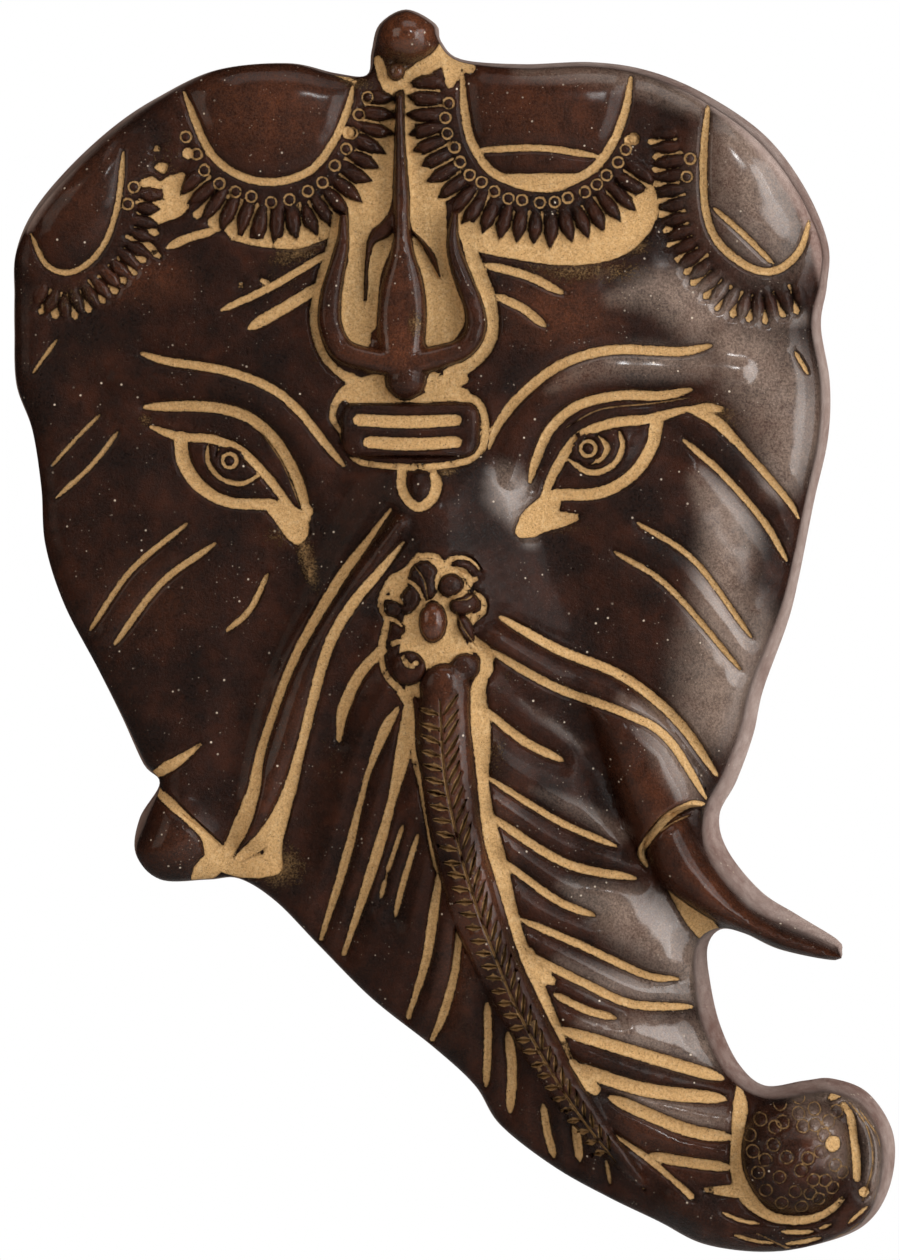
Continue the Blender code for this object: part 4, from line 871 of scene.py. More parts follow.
class Face:
    """Depth of the relief, gap to the pigment's edge and other masks at spots of the sheet."""

    def __init__(self, spots, front_edge, settings):
        self.spots = spots
        self.settings = settings
        self.edge = front_edge
        self.depth = np.zeros(len(spots))
        self.gap = np.full(len(spots), FAR)
        self.trace_and_highlight = np.full(len(spots), FAR)
        self.petals, self.bones = garland_parts()
        self.rings = ring_centres()
        self.notches = strap_notches()

    def build(self):
        """Works out everything, from the broad forms to the fine ones."""
        self.broad_forms()
        self.soft_lines()
        self.pigment_fields()
        raised = self.raised_forms()
        self.carve_pigment()
        self.depth += raised
        self.fine_cuts()
        self.rough_cast()

    def near(self, curve, margin):
        """Indices of the spots near a curve."""
        return close_to(self.spots, curve, margin)

    def broad_forms(self):
        """Rounded edge, belly, swells and ridges."""
        settings = self.settings
        gap, _ = reach(self.spots, self.edge, closed=True)
        inside = gap * UNIT
        lip = 1 - np.minimum(inside / settings.edge_run, 1)
        depth = settings.rim_depth + settings.edge_round * np.sqrt(1 - lip * lip)
        depth += settings.belly * (1 - np.exp(-(inside / settings.belly_run) ** 2))
        self.depth += depth / MM
        for u, v, half_u, half_v, turn, rise in SWELLS.values():
            q = turned(self.spots, (u, v), (1.5 * half_u, 1.5 * half_v), turn)
            self.depth += rise * hump(q)
        for rise, points in RIDGES.values():
            curve = smooth(points, 12)
            near = self.near(curve, 0.7 * curve[:, 2].max())
            gap, half = reach(self.spots[near], curve)
            self.depth[near] += rise * hump(gap / (1.2 * half))

    def soft_lines(self):
        """Hollows, and troughs along the wrinkles, so that the skin between them is rounded."""
        trough = np.zeros(len(self.spots))
        lines = list(HOLLOWS.values())
        for name, (_, points) in LINES.items():
            if name.startswith(("rib", "side")):
                lines.append((*DEEP_TROUGH, points))
            elif name.startswith(("lid", "brow", "sheath", "cheek", "lobe")):
                lines.append((*LOW_TROUGH, points))
        for deep, wide, points in lines:
            curve = smooth([point[:2] for point in points], 10)
            near = self.near(curve, wide + 2)
            gap, _ = reach(self.spots[near], curve)
            trough[near] = np.maximum(trough[near], deep * hump(gap / wide))
        self.depth -= trough

    def mark(self, curve):
        """Adds a line to the pigment."""
        near = self.near(curve, curve[:, 2].max() + 16)
        gap, half = reach(self.spots[near], curve)
        self.gap[near] = np.minimum(self.gap[near], gap - half)

    def pigment_fields(self):
        """Where pigment fills the ground, before the raised forms are put on it."""
        for name, points in PATCHES.items():
            if not name.startswith(PATCHES_ON_TOP):
                self.mark(smooth(points, LINE_STEP))
        for curve in self.bones:
            self.mark(curve)
        for name, (width, points) in LINES.items():
            if not name.startswith(ON_TOP):
                self.mark(tapered(points, width))

    def put_on(self, raised, near, q, height, inside):
        """Adds a raised form and takes the pigment off it."""
        raised[near] = np.maximum(raised[near], height)
        self.gap[near] = np.maximum(self.gap[near], np.where(q < 1.6, inside, -FAR))

    def raised_forms(self):
        """Heights of the trident, plate, strap, tusk, beads, flower and petals."""
        raised = np.zeros(len(self.spots))
        u, v, mouth = SHEATH_MOUTH
        curve = smooth(SHEATH[1], LINE_STEP)
        near = self.near(curve, 0.8 * curve[:, 2].max())
        gap, half = reach(self.spots[near], curve)
        from_mouth = np.hypot(*(self.spots[near] - np.array([u, v])).T)
        along = fade(self.spots[near] @ np.array(SHEATH_WAY), *SHEATH_START)
        beyond = fade(from_mouth, mouth, mouth + MOUTH_EDGE)
        raised[near] = SHEATH[0] * dome(gap / half) * along * beyond
        for petal in self.petals:
            near = self.near(petal.centre[None, :], 26)
            q = petal.radius(self.spots[near])
            self.put_on(raised, near, q, petal.rise * pillow(q), (1 - q) * 0.4 * PETAL_WIDTH)
        for name, (rise, points) in BARS.items():
            curve = smooth(points, LINE_STEP)
            near = self.near(curve, 0.8 * curve[:, 2].max() + 6)
            gap, half = reach(self.spots[near], curve)
            q = gap / half
            profile = dome if name in ("strap", "tusk") else pillow
            self.put_on(raised, near, q, rise * profile(q), half - gap)
        for name, (u, v, half_u, half_v, turn, rise) in DOMES.items():
            near = self.near(on_sheet([(u, v)]), 1.4 * max(half_u, half_v) + 4)
            q = turned(self.spots[near], (u, v), (half_u, half_v), turn)
            profile = hump if name.startswith("eye") else dome
            if name.startswith(("bud_", "curl")) and name != "bud_centre":
                profile = pillow
            self.put_on(raised, near, q, rise * profile(q), (1 - q) * min(half_u, half_v))
        q = plate_radius(self.spots)
        near = np.flatnonzero(q < 2)
        self.put_on(raised, near, q[near], PLATE_RISE * pillow(q[near]),
                    (1 - q[near]) * PLATE_CORNER)
        self.pigment_on_top()
        return raised

    def pigment_on_top(self):
        """Pigment in the lines, dots and rings that are cut into the raised forms."""
        for name, (width, points) in LINES.items():
            if name.startswith(ON_TOP):
                self.mark(tapered(points, width))
        for name, points in PATCHES.items():
            if name.startswith(PATCHES_ON_TOP):
                self.mark(smooth(points, LINE_STEP))
        for u, v, radius in DOTS:
            near = self.near(on_sheet([(u, v)]), 24)
            away = np.hypot(*(self.spots[near] - np.array([u, v])).T)
            self.gap[near] = np.minimum(self.gap[near], away - radius)
        for u, v, radius in PUPILS:
            near = self.near(on_sheet([(u, v)]), 24)
            away = np.abs(np.hypot(*(self.spots[near] - np.array([u, v])).T) - radius)
            inside = 0.5 * PUPIL_LINE - away
            self.gap[near] = np.where(away < radius, -inside, self.gap[near])

    def carve_pigment(self):
        """Sinks the ground under the pigment, with a steep side."""
        deepest = self.settings.groove_depth / MM
        self.depth -= deepest * sum(share * fade(-self.gap, start, end)
                                    for share, start, end in GROOVE_PROFILE)

    def cut(self, curve, depth, trace):
        """Carves a line with a round bottom and a pale trace in it: pigment, partly painted
        glints on the strap.
        """
        near = self.near(curve, curve[:, 2].max() + 8)
        gap, half = reach(self.spots[near], curve)
        self.depth[near] -= depth * hump(gap / (1.3 * half))
        self.trace_and_highlight[near] = np.minimum(self.trace_and_highlight[near], gap - trace * half)

    def fine_cuts(self):
        """Notches of the strap, thin cuts and punched rings."""
        for trace, start, end in self.notches:
            self.cut(notch_curve(start, end), NOTCH_DEPTH, trace)
        self.cut(tapered(STRAP_CENTRE, STRAP_LINE_WIDTH), STRAP_LINE_DEPTH, STRAP_LINE_TRACE)
        for width, points in CUTS.values():
            self.cut(tapered(points, width), CUT_DEPTH, CUT_TRACE)
        marks = [(ring, RING_RADIUS, True) for ring in self.rings]
        marks += [(ring, BALL_RING_RADIUS, False) for ring in BALL_RINGS]
        for centre, radius, pigment in marks:
            near = self.near(on_sheet([centre]), 14)
            gap = np.abs(np.hypot(*(self.spots[near] - np.array(centre)).T) - radius)
            self.depth[near] -= RING_DEPTH * hump(gap / (RING_CUT * RING_LINE))
            if pigment:
                self.gap[near] = np.minimum(self.gap[near], gap - RING_PIGMENT * RING_LINE)
            else:
                self.trace_and_highlight[near] = np.minimum(self.trace_and_highlight[near], gap - BALL_RING_HIGHLIGHT * RING_LINE)

    def rough_cast(self):
        """Slight unevenness of the hand-worked surface."""
        for row, (u, v) in enumerate(self.spots):
            self.depth[row] += sum(rise * noise.noise(Vector((u / size, v / size, layer)))
                                   for size, layer, rise in UNEVENNESS)

    def painted_side_reflection(self):
        """Share of the rim wall's painted reflection on the faces beside the front."""
        tone = np.zeros(len(self.spots))
        for points in PAINTED_SIDE_REFLECTIONS.values():
            curve = smooth(points, 8)
            near = self.near(curve, curve[:, 2].max() + 8)
            gap, half = reach(self.spots[near], curve)
            tone[near] = np.maximum(tone[near], 1 - fade(gap - half, -5, 3))
        curve = smooth(BARS["tusk"][1], LINE_STEP)
        gap, half = reach(self.spots, curve)
        return tone * fade(gap - half, -3, 1)

    def sheen_share(self):
        """Share of painted sheen at each spot, from 0 to 1: paler colour standing in for the
        lights' gloss.
        """
        amount = np.zeros(len(self.spots))
        for points in PAINTED_SHEEN.values():
            curve = smooth(points, 8)
            near = self.near(curve, curve[:, 2].max() + 30)
            gap, half = reach(self.spots[near], curve)
            strength = np.minimum(1, half / 17)
            amount[near] = np.maximum(amount[near], strength * (1 - fade(gap / half, 0, 2.1)))
        return amount

    def rubbed(self, proud):
        """How much the dark skin is rubbed off, from the height over the surroundings."""
        amount = 0.22 * np.clip(proud - 0.15, 0, 1)
        for u, v, half_u, half_v, turn, strength in WARM.values():
            q = turned(self.spots, (u, v), (1.4 * half_u, 1.4 * half_v), turn)
            amount += strength * hump(q)
        return np.minimum(amount, 1)

    def dust(self):
        """How much loose pigment clings to each spot, from 0 to 1."""
        amount = np.full(len(self.spots), 0.05)
        for u, v, half_u, half_v, turn, strength in SMEARS.values():
            q = turned(self.spots, (u, v), (1.35 * half_u, 1.35 * half_v), turn)
            amount = np.maximum(amount, strength * hump(q))
        near_edge = np.exp(-np.maximum(self.gap, 0) / 5.0)
        return np.maximum(amount, 0.22 * near_edge)


class Sheet:
    """Points of the flat drawing and the edges that the facets must follow."""

    def __init__(self):
        self.points = []
        self.edges = []

    def add(self, rows, closed=False):
        """Adds a chain of points joined by edges."""
        first = len(self.points)
        self.points.extend(np.asarray(rows)[:, :2])
        last = len(self.points) - 1
        self.edges.extend((k, k + 1) for k in range(first, last))
        if closed:
            self.edges.append((last, first))

    def add_rails(self, curve, offsets):
        """Adds chains beside a curve: shares of its half width plus extra distances."""
        outward = sides(curve)
        for share, extra in offsets:
            away = 0.5 * share * curve[:, 2:3] + extra
            for side in ((1,) if share == extra == 0 else (-1, 1)):
                self.add(curve[:, :2] + side * outward * away)

    def add_rings(self, centre, half_sizes, turn, radii, pitch):
        """Adds ellipses at shares of their half sizes, with points a pitch apart."""
        angle = math.radians(turn)
        axes = np.array([[math.cos(angle), math.sin(angle)],
                         [-math.sin(angle), math.cos(angle)]])
        for radius in radii:
            count = max(8, round(2 * math.pi * radius * max(half_sizes) / pitch))
            angles = np.linspace(0, 2 * math.pi, count, endpoint=False)
            circle = radius * np.stack([np.cos(angles), np.sin(angles)], axis=1)
            self.add(np.array(centre) + (circle * np.array(half_sizes)) @ axes, closed=True)
        self.points.append(np.array(centre, dtype=float))


def drawing(face):
    """Sheet with every feature of the face."""
    sheet = Sheet()
    raised = ((0, 0), (0.55, 0), (0.85, 0), (1, -0.5), (1, 1.6))
    carved = ((0, 0), (1, -0.3), (1, 2.4), (1, 4.4))
    thin = ((0, 0), (1, 0), (1, 1.6))
    for _, points in BARS.values():
        sheet.add_rails(smooth(points, LINE_STEP), raised)
    for width, points in LINES.values():
        sheet.add_rails(tapered(points, width), carved)
    for points in PATCHES.values():
        sheet.add_rails(smooth(points, LINE_STEP), ((1, -0.3), (1, 2.4)))
    for width, points in CUTS.values():
        sheet.add_rails(tapered(points, width), thin)
    sheet.add_rails(tapered(STRAP_CENTRE, STRAP_LINE_WIDTH), thin)
    for u, v, half_u, half_v, turn, _ in DOMES.values():
        radii = (1.06, 0.97, 0.86, 0.66, 0.36)
        sheet.add_rings((u, v), (half_u, half_v), turn, radii, 3.6)
    for petal in face.petals:
        for radius, count in ((1.12, 14), (0.97, 14), (0.8, 12), (0.4, 6)):
            sheet.add(petal.ring(radius, count), closed=True)
    for curve in face.bones:
        sheet.add_rails(curve, ((0, 0), (1, 0)))
    for _, start, end in face.notches:
        sheet.add_rails(notch_curve(start, end), ((0, 0), (1.15, 0)))
    half_line = 0.5 * RING_LINE
    for rings, radius in ((face.rings, RING_RADIUS), (BALL_RINGS, BALL_RING_RADIUS)):
        radii = [(radius + share * half_line) / radius for share in (-1.5, -0.4, 0.4, 1.5)]
        for centre in rings:
            sheet.add_rings(centre, (radius, radius), 0, radii, 3.4)
    for u, v, radius in PUPILS:
        radii = [(radius + share * PUPIL_LINE) / radius for share in (-0.9, -0.3, 0.3, 0.9)]
        sheet.add_rings((u, v), (radius, radius), 0, radii, 3.0)
    for u, v, radius in DOTS:
        sheet.add_rings((u, v), (radius, radius), 0, (0.7, 1.2), 3.0)
    u, v, mouth = SHEATH_MOUTH
    sheet.add_rings((u, v), (mouth, mouth), 0, (1.0, 1.05, 1.11), 5)
    for inset in (-1.5, 0.6, 2.2, 5):
        sheet.add(round_corners(inset), closed=True)
    return sheet


def round_corners(inset):
    """Points round the plate, at a distance inside its edge."""
    half = np.array(PLATE_SIZE) / 2 - inset
    radius = PLATE_CORNER - inset
    points = []
    for quarter, (side_u, side_v) in enumerate(((1, 1), (-1, 1), (-1, -1), (1, -1))):
        centre = np.array(PLATE_CENTRE) + np.array([side_u, side_v]) * (half - radius)
        for k in range(5):
            angle = 0.5 * math.pi * (quarter + k / 4)
            points.append(centre + radius * np.array([math.cos(angle), math.sin(angle)]))
    return np.array(points)


def within(spots, loop):
    """True for each spot inside the closed loop."""
    odd = np.zeros(len(spots), dtype=bool)
    for start, end in zip(loop, np.roll(loop, -1, axis=0)):
        crosses = (start[1] > spots[:, 1]) != (end[1] > spots[:, 1])
        rise = end[1] - start[1] if end[1] != start[1] else 1e-12
        side = start[0] + (spots[:, 1] - start[1]) * (end[0] - start[0]) / rise
        odd ^= crosses & (spots[:, 0] < side)
    return odd


def grid(loop, step):
    """Staggered points one step apart over the box round a loop."""
    low, high = loop.min(axis=0), loop.max(axis=0)
    rows = []
    for row, v in enumerate(np.arange(low[1], high[1], step * math.sqrt(0.75))):
        shift = 0.5 * step * (row % 2)
        rows.extend((u, v) for u in np.arange(low[0] + shift, high[0], step))
    return np.array(rows)


def clear_of(spots, others, gap):
    """Spots that are farther than a gap from all the others, found by cells of that size."""
    cells = {}
    for u, v in others:
        cells.setdefault((int(u // gap), int(v // gap)), []).append((u, v))
    keep = []
    for u, v in spots:
        column, row = int(u // gap), int(v // gap)
        near = [other for i in (-1, 0, 1) for j in (-1, 0, 1)
                for other in cells.get((column + i, row + j), ())]
        keep.append(all((u - a) ** 2 + (v - b) ** 2 > gap * gap for a, b in near))
    return spots[np.array(keep)]


def flat_face(front_edge, sheet):
    """Flat triangles over the whole face, with an edge along every feature."""
    points = np.array(sheet.points)
    margin, _ = reach(points, front_edge, closed=True)
    keep = within(points, front_edge) & (margin > EDGE_CLEARANCE)
    kept = {old: new for new, old in enumerate(np.flatnonzero(keep))}
    rows = list(points[keep])
    edges = [(kept[a], kept[b]) for a, b in sheet.edges if a in kept and b in kept]
    outward = sides(front_edge, closed=True)
    for inset in EDGE_INSETS:
        ring = front_edge - outward * inset
        gap, _ = reach(ring, front_edge, closed=True)
        sound = within(ring, front_edge) & (gap > 0.92 * inset)
        rows.extend(clear_of(ring[sound], rows, EDGE_CLEARANCE))
    fill = grid(front_edge, FILL_STEP)
    fill = fill[within(fill, front_edge)]
    gap, _ = reach(fill, front_edge, closed=True)
    rows.extend(clear_of(fill[gap > 3], rows, 0.6 * FILL_STEP))
    first = len(rows)
    count = len(front_edge)
    rows.extend(front_edge)
    edges.extend((first + k, first + (k + 1) % count) for k in range(count))
    flat, _, faces, *_ = delaunay_2d_cdt([Vector(row) for row in rows], edges, [], 1, 0.3)
    return np.array([tuple(vertex) for vertex in flat]), faces


def proud_of(mesh, depths, rounds):
    """How far the relief stands proud of its surroundings at every vertex."""
    mesh.edges.ensure_lookup_table()
    pairs = np.array([[v.index for v in edge.verts] for edge in mesh.edges])
    count = np.maximum(np.bincount(pairs.ravel(), minlength=len(depths)), 1)
    around = depths.copy()
    for _ in range(rounds):
        total = np.bincount(pairs[:, 0], around[pairs[:, 1]], len(depths))
        total += np.bincount(pairs[:, 1], around[pairs[:, 0]], len(depths))
        around = 0.5 * around + 0.5 * total / count
    return depths - around


def tusk_lift(spots):
    """Gap between the wall and the back, which is only open under the tusk's tip."""
    root, tip = on_sheet(TUSK_LINE)
    way = tip - root
    t = np.clip((spots - root) @ way / (way @ way), 0, 1)
    gap, _ = reach(spots, np.array([root, tip]))
    return np.where(gap < TUSK_HALF_WIDTH, TUSK_LIFT * t ** TUSK_CURL, 0)


def build_cast(settings):
    """The whole casting as one closed mesh with its paint masks."""
    front_edge, rim = edge_curves()
    planner = Face(front_edge[:1], front_edge, settings)
    flat, faces = flat_face(front_edge, drawing(planner))
    face = Face(flat, front_edge, settings)
    face.build()
    depths = face.depth * MM

    mesh = bmesh.new()
    masks = {
        "pigment_gap": face.gap * UNIT / MM,
        "faint_gap": face.trace_and_highlight * UNIT / MM,
        "dust": face.dust(),
        "wall": face.painted_side_reflection(),
        "haze": face.sheen_share(),
    }
    for (u, v), depth in zip(flat, depths):
        mesh.verts.new(in_space(u, v, depth))
    mesh.verts.ensure_lookup_table()
    mesh.verts.index_update()
    for corners in faces:
        mesh.faces.new([mesh.verts[k] for k in corners])
    masks["worn"] = face.rubbed(proud_of(mesh, face.depth, PROUD_ROUNDS))
    for name, values in masks.items():
        layer = mesh.verts.layers.float.new(name)
        mesh.verts.ensure_lookup_table()
        for vertex, value in zip(mesh.verts, values):
            vertex[layer] = value

    add_wall(mesh, front_edge, rim)
    for vertex in mesh.verts:
        vertex.co = [min(max(value, low), high)
                     for value, low, high in zip(vertex.co, LOW, HIGH)]
    bmesh.ops.recalc_face_normals(mesh, faces=mesh.faces)
    data = bpy.data.meshes.new("ganesha_relief_cast")
    mesh.to_mesh(data)
    mesh.free()
    data.shade_smooth()
    data.set_sharp_from_angle(angle=math.radians(SHARP_ANGLE))
    piece = bpy.data.objects.new("ganesha_relief_cast", data)
    bpy.context.collection.objects.link(piece)
    return piece


def add_wall(mesh, front_edge, rim):
    """Rim wall from the front edge to the back, and the flat back."""
    layers = mesh.verts.layers.float
    edges = [edge for edge in mesh.edges if edge.is_boundary]
    starts = {}
    for edge in edges:
        for vertex in edge.verts:
            spot = np.array(on_plan(vertex))
            nearest = int(np.argmin(np.sum((front_edge - spot) ** 2, axis=1)))
            target = spot + rim[nearest] - front_edge[nearest]
            starts[vertex] = (spot, target, -vertex.co.y)
    for outward, backward, tone in WALL_RINGS:
        moved = bmesh.ops.extrude_edge_only(mesh, edges=edges)["geom"]
        edges = [part for part in moved if isinstance(part, bmesh.types.BMEdge)
                 and part.is_boundary]
        carried = {}
        for vertex in (part for part in moved if isinstance(part, bmesh.types.BMVert)):
            source = next(edge.other_vert(vertex) for edge in vertex.link_edges
                          if edge.other_vert(vertex) in starts)
            spot, target, depth = starts[source]
            lift = float(tusk_lift(target[None, :])[0])
            place = spot + (target - spot) * outward
            vertex.co = in_space(*place, depth + (lift - depth) * backward)
            paint_bare(vertex, layers, tone)
            carried[vertex] = starts[source]
        starts = carried
    add_back(mesh, edges, rim)


def paint_bare(vertex, layers, tone):
    """Sets the masks of a vertex without pigment, with a share of the rim wall's painted
    reflection.
    """
    for name, value in BARE.items():
        vertex[layers[name]] = value
    vertex[layers["wall"]] = tone


def add_back(mesh, edges, rim):
    """Back on the wall plane, with points all over it so that only the tusk's tip stands off."""
    loop = list({vertex: None for edge in edges for vertex in edge.verts})
    rows = [on_plan(vertex) for vertex in loop]
    number = {vertex: k for k, vertex in enumerate(loop)}
    pairs = [tuple(number[vertex] for vertex in edge.verts) for edge in edges]
    fill = grid(rim, BACK_STEP)
    fill = fill[within(fill, rim)]
    gap, _ = reach(fill, rim, closed=True)
    rows.extend(fill[gap > 0.5 * BACK_STEP])
    flat, _, faces, sources, *_ = delaunay_2d_cdt([Vector(row) for row in rows], pairs, [], 1,
                                                  0.001)
    lifts = tusk_lift(np.array([tuple(spot) for spot in flat]))
    vertices = []
    for (u, v), source, lift in zip(flat, sources, lifts):
        if source and source[0] < len(loop):
            vertices.append(loop[source[0]])
            continue
        vertex = mesh.verts.new(in_space(u, v, lift))
        paint_bare(vertex, mesh.verts.layers.float, 1.0)
        vertices.append(vertex)
    for corners in faces:
        mesh.faces.new([vertices[k] for k in corners])


class Value:
    """A shader socket that can be used in sums, with constants or other sockets."""

    def __init__(self, tree, socket):
        self.tree = tree
        self.socket = socket

    def math(self, operation, *others, clamp=False):
        """New value from one Math node."""
        node = self.tree.nodes.new("ShaderNodeMath")
        node.operation = operation
        node.use_clamp = clamp
        for slot, value in zip(node.inputs, (self, *others)):
            if isinstance(value, Value):
                self.tree.links.new(value.socket, slot)
            else:
                slot.default_value = value
        return Value(self.tree, node.outputs[0])

    def __add__(self, other):
        return self.math("ADD", other)

    __radd__ = __add__

    def __sub__(self, other):
        return self.math("SUBTRACT", other)

    def __rsub__(self, other):
        return self.math("MULTIPLY_ADD", -1.0, other)

    def __mul__(self, other):
        return self.math("MULTIPLY", other)

    __rmul__ = __mul__

    def ramp(self, start, end):
        """0 below start, 1 above end and a straight slope between."""
        slope = 1.0 / (end - start)
        return self.math("MULTIPLY_ADD", slope, -start * slope, clamp=True)

    def most(self, other):
        """The larger of two values."""
        return self.math("MAXIMUM", other)


class Finish:
    """A material under construction."""

    def __init__(self, name):
        self.material = bpy.data.materials.new(name)
        self.material.use_nodes = True
        self.tree = self.material.node_tree
        self.shader = self.tree.nodes["Principled BSDF"]
        self.coords = self.node("ShaderNodeTexCoord").outputs["Object"]

    def node(self, kind, settings=None, **sockets):
        """New node with its settings, then the values or links of its sockets."""
        node = self.tree.nodes.new(kind)
        for name, value in (settings or {}).items():
            setattr(node, name, value)
        for name, value in sockets.items():
            self.feed(node.inputs[name.replace("_", " ")], value)
        return node

    def feed(self, slot, value):
        """Links a socket, or sets its value."""
        if isinstance(value, Value):
            value = value.socket
        if isinstance(value, bpy.types.NodeSocket):
            self.tree.links.new(value, slot)
        else:
            slot.default_value = value

    def layer(self, name):
        """Mask painted on the mesh."""
        node = self.node("ShaderNodeAttribute", {"attribute_name": name})
        return Value(self.tree, node.outputs["Fac"])

    def cloud(self, scale, detail=3.0, rough=0.55, stretch=(1, 1, 1), turn=(0, 0, 0)):
        """Noise with its size, detail and stretch."""
        place = self.node("ShaderNodeMapping", Vector=self.coords, Scale=stretch, Rotation=turn)
        node = self.node("ShaderNodeTexNoise", Vector=place.outputs[0], Scale=scale,
                         Detail=detail, Roughness=rough)
        return Value(self.tree, node.outputs["Fac"])

    def cells(self, scale):
        """Distance from the nearest of many scattered points."""
        node = self.node("ShaderNodeTexVoronoi", Vector=self.coords, Scale=scale)
        return Value(self.tree, node.outputs["Distance"])

    def blend(self, share, first, second):
        """Colour between two colours."""
        node = self.node("ShaderNodeMix", {"data_type": "RGBA"})
        self.feed(node.inputs[0], share)
        self.feed(node.inputs[6], first)
        self.feed(node.inputs[7], second)
        return node.outputs[2]

    def bump(self, height, distance, strength, normal=None):
        """Fine relief of the surface."""
        node = self.node("ShaderNodeBump", Height=height, Distance=distance, Strength=strength)
        if normal is not None:
            self.feed(node.inputs["Normal"], normal)
        return node.outputs["Normal"]


def patina_material(colours):
    """Glossy dark patina on brass, rubbed on the high places, with tan pigment in the cuts, and
    painted sheen, painted reflection on the rim wall and painted shade by the pigment's edges.
    """
    finish = Finish("patinated_brass_finish")
    gap, trace_and_highlight = finish.layer("pigment_gap"), finish.layer("faint_gap")
    dust, wall, worn = finish.layer("dust"), finish.layer("wall"), finish.layer("worn")

    ragged = finish.cloud(1500, 4.0, 0.7) * 0.55 + finish.cloud(420, 3.0) * 0.35
    edge = gap + (ragged - 0.45) * 1.5
    pigment = (0.0 - edge).ramp(-0.03, 0.06)
    # Pale traces in thin cuts: pigment, and on the ball's rings and the strap also painted
    # highlights
    trace = (0.0 - trace_and_highlight - (ragged - 0.45) * 0.9).ramp(-0.06, 0.10)
    broken = finish.cloud(330, 3.0, 0.6).ramp(0.34, 0.50)
    clumps = finish.cloud(260, 4.0, 0.65).ramp(0.42, 0.62)
    crumbs = finish.cloud(1900, 5.0, 0.78)
    loose = (crumbs + dust * 0.42).ramp(0.70, 0.86) * clumps.math("MULTIPLY_ADD", 0.75, 0.25)
    pores = finish.cells(1400).ramp(0.22, 0.10) * finish.cloud(500, 2.0).ramp(0.50, 0.62)
    cover = (pigment * (1.0 - pores * 0.8)).most(loose * 0.8).most(trace * broken * 0.9)

    haze = finish.layer("haze")
    patches = finish.cloud(60, 5.0, 0.65).ramp(0.40, 0.62)
    mottle = finish.cloud(260, 5.0, 0.75).ramp(0.40, 0.62)
    skin_grain = finish.cloud(1700, 4.0, 0.75).ramp(0.40, 0.60)
    dark = finish.blend(patches, tuple(colours.patina_dark), tuple(colours.patina_brown))
    dark = finish.blend(mottle * 0.6, dark, tuple(colours.patina_deep_and_shade))
    dark = finish.blend(skin_grain * 0.30, dark, tuple(colours.patina_grain))
    rubbed = worn * (skin_grain * 0.6 + 0.4) * (1.0 - mottle * 0.5)
    metal = finish.blend(rubbed, dark, tuple(colours.patina_warm))
    drift = finish.cloud(38, 4.0, 0.6, stretch=(1.0, 1.0, 0.6)).ramp(0.36, 0.60)
    # Painted sheen: a paler colour blended in where the lights would gloss the surface
    sheen_share = haze * (skin_grain * 0.42 + mottle * 0.22 + drift * 0.20 + 0.12)
    metal = finish.blend(sheen_share, metal, tuple(colours.painted_sheen_colour))
    # Painted reflection of the pale surroundings on the rim wall and on the faces beside the
    # front
    side = finish.blend(mottle * 0.35 + drift * 0.5, tuple(colours.wall_reflection_dark),
                        tuple(colours.wall_reflection_pale))
    metal = finish.blend(wall * 0.9, metal, side)
    # Painted shade: a dark line along the pigment's edges, where the groove walls would be in
    # shadow
    rim = gap.ramp(0.38, 0.06) * (1.0 - wall)
    metal = finish.blend(rim * 0.6, metal, tuple(colours.patina_deep_and_shade))
    specks = finish.cells(330).ramp(0.11, 0.07) * finish.cloud(90, 2.0).ramp(0.50, 0.62)
    crumb_specks = finish.cells(800).ramp(0.15, 0.08) * finish.cloud(200, 3.0).ramp(0.52, 0.64)
    metal = finish.blend(specks.most(crumb_specks * 0.5) * 0.7, metal, tuple(colours.speck))
    grain = finish.cloud(1900, 5.0, 0.85).ramp(0.36, 0.54)
    tan = finish.blend(grain * 0.65 + 0.35, tuple(colours.pigment_dark), tuple(colours.pigment))
    tan = finish.blend(finish.cloud(900, 4.0, 0.7).ramp(0.50, 0.68) * 0.5, tan,
                       tuple(colours.pigment_pale))
    deep = (0.0 - gap).ramp(-0.05, 0.40)
    tan = finish.blend(deep.math("MULTIPLY_ADD", -0.6, 0.6), tan, tuple(colours.pigment_dark))
    shader = finish.shader
    finish.feed(shader.inputs["Base Color"], finish.blend(cover, metal, tan))

    streaks = finish.cloud(700, 3.0, 0.6, stretch=(1.0, 1.0, 0.12), turn=(0, 0.5, 0))
    scratches = finish.cloud(900, 2.0, 0.5, stretch=(0.10, 1.0, 1.0), turn=(0, -0.7, 0))
    gloss = (mottle * 0.09 + streaks.ramp(0.3, 0.8) * 0.06 + skin_grain * 0.07 + 0.15
             + haze * 0.16 + wall * 0.25 + rim * 0.20)
    finish.feed(shader.inputs["Roughness"], gloss + cover * (0.95 - gloss))
    finish.feed(shader.inputs["Metallic"], (1.0 - cover) * 0.10)
    shader.inputs["Specular IOR Level"].default_value = 0.08
    shader.inputs["Coat Roughness"].default_value = 0.15
    finish.feed(shader.inputs["Coat Weight"],
                (1.0 - cover) * (1.0 - wall) * (1.0 - rim)
                * (haze * 0.85 + worn * 0.65 + 0.05) * (1.0 - skin_grain * 0.4))

    skin = mottle * 0.6 + scratches * 0.5 + streaks * 0.4 + skin_grain * 0.6
    normal = finish.bump(skin, 0.00015, 0.8)
    sand = finish.cloud(1100, 5.0, 0.8)
    normal = finish.bump(cover * (sand + 0.6), 0.00055, 1.0, normal)
    finish.feed(shader.inputs["Normal"], normal)
    return finish.material


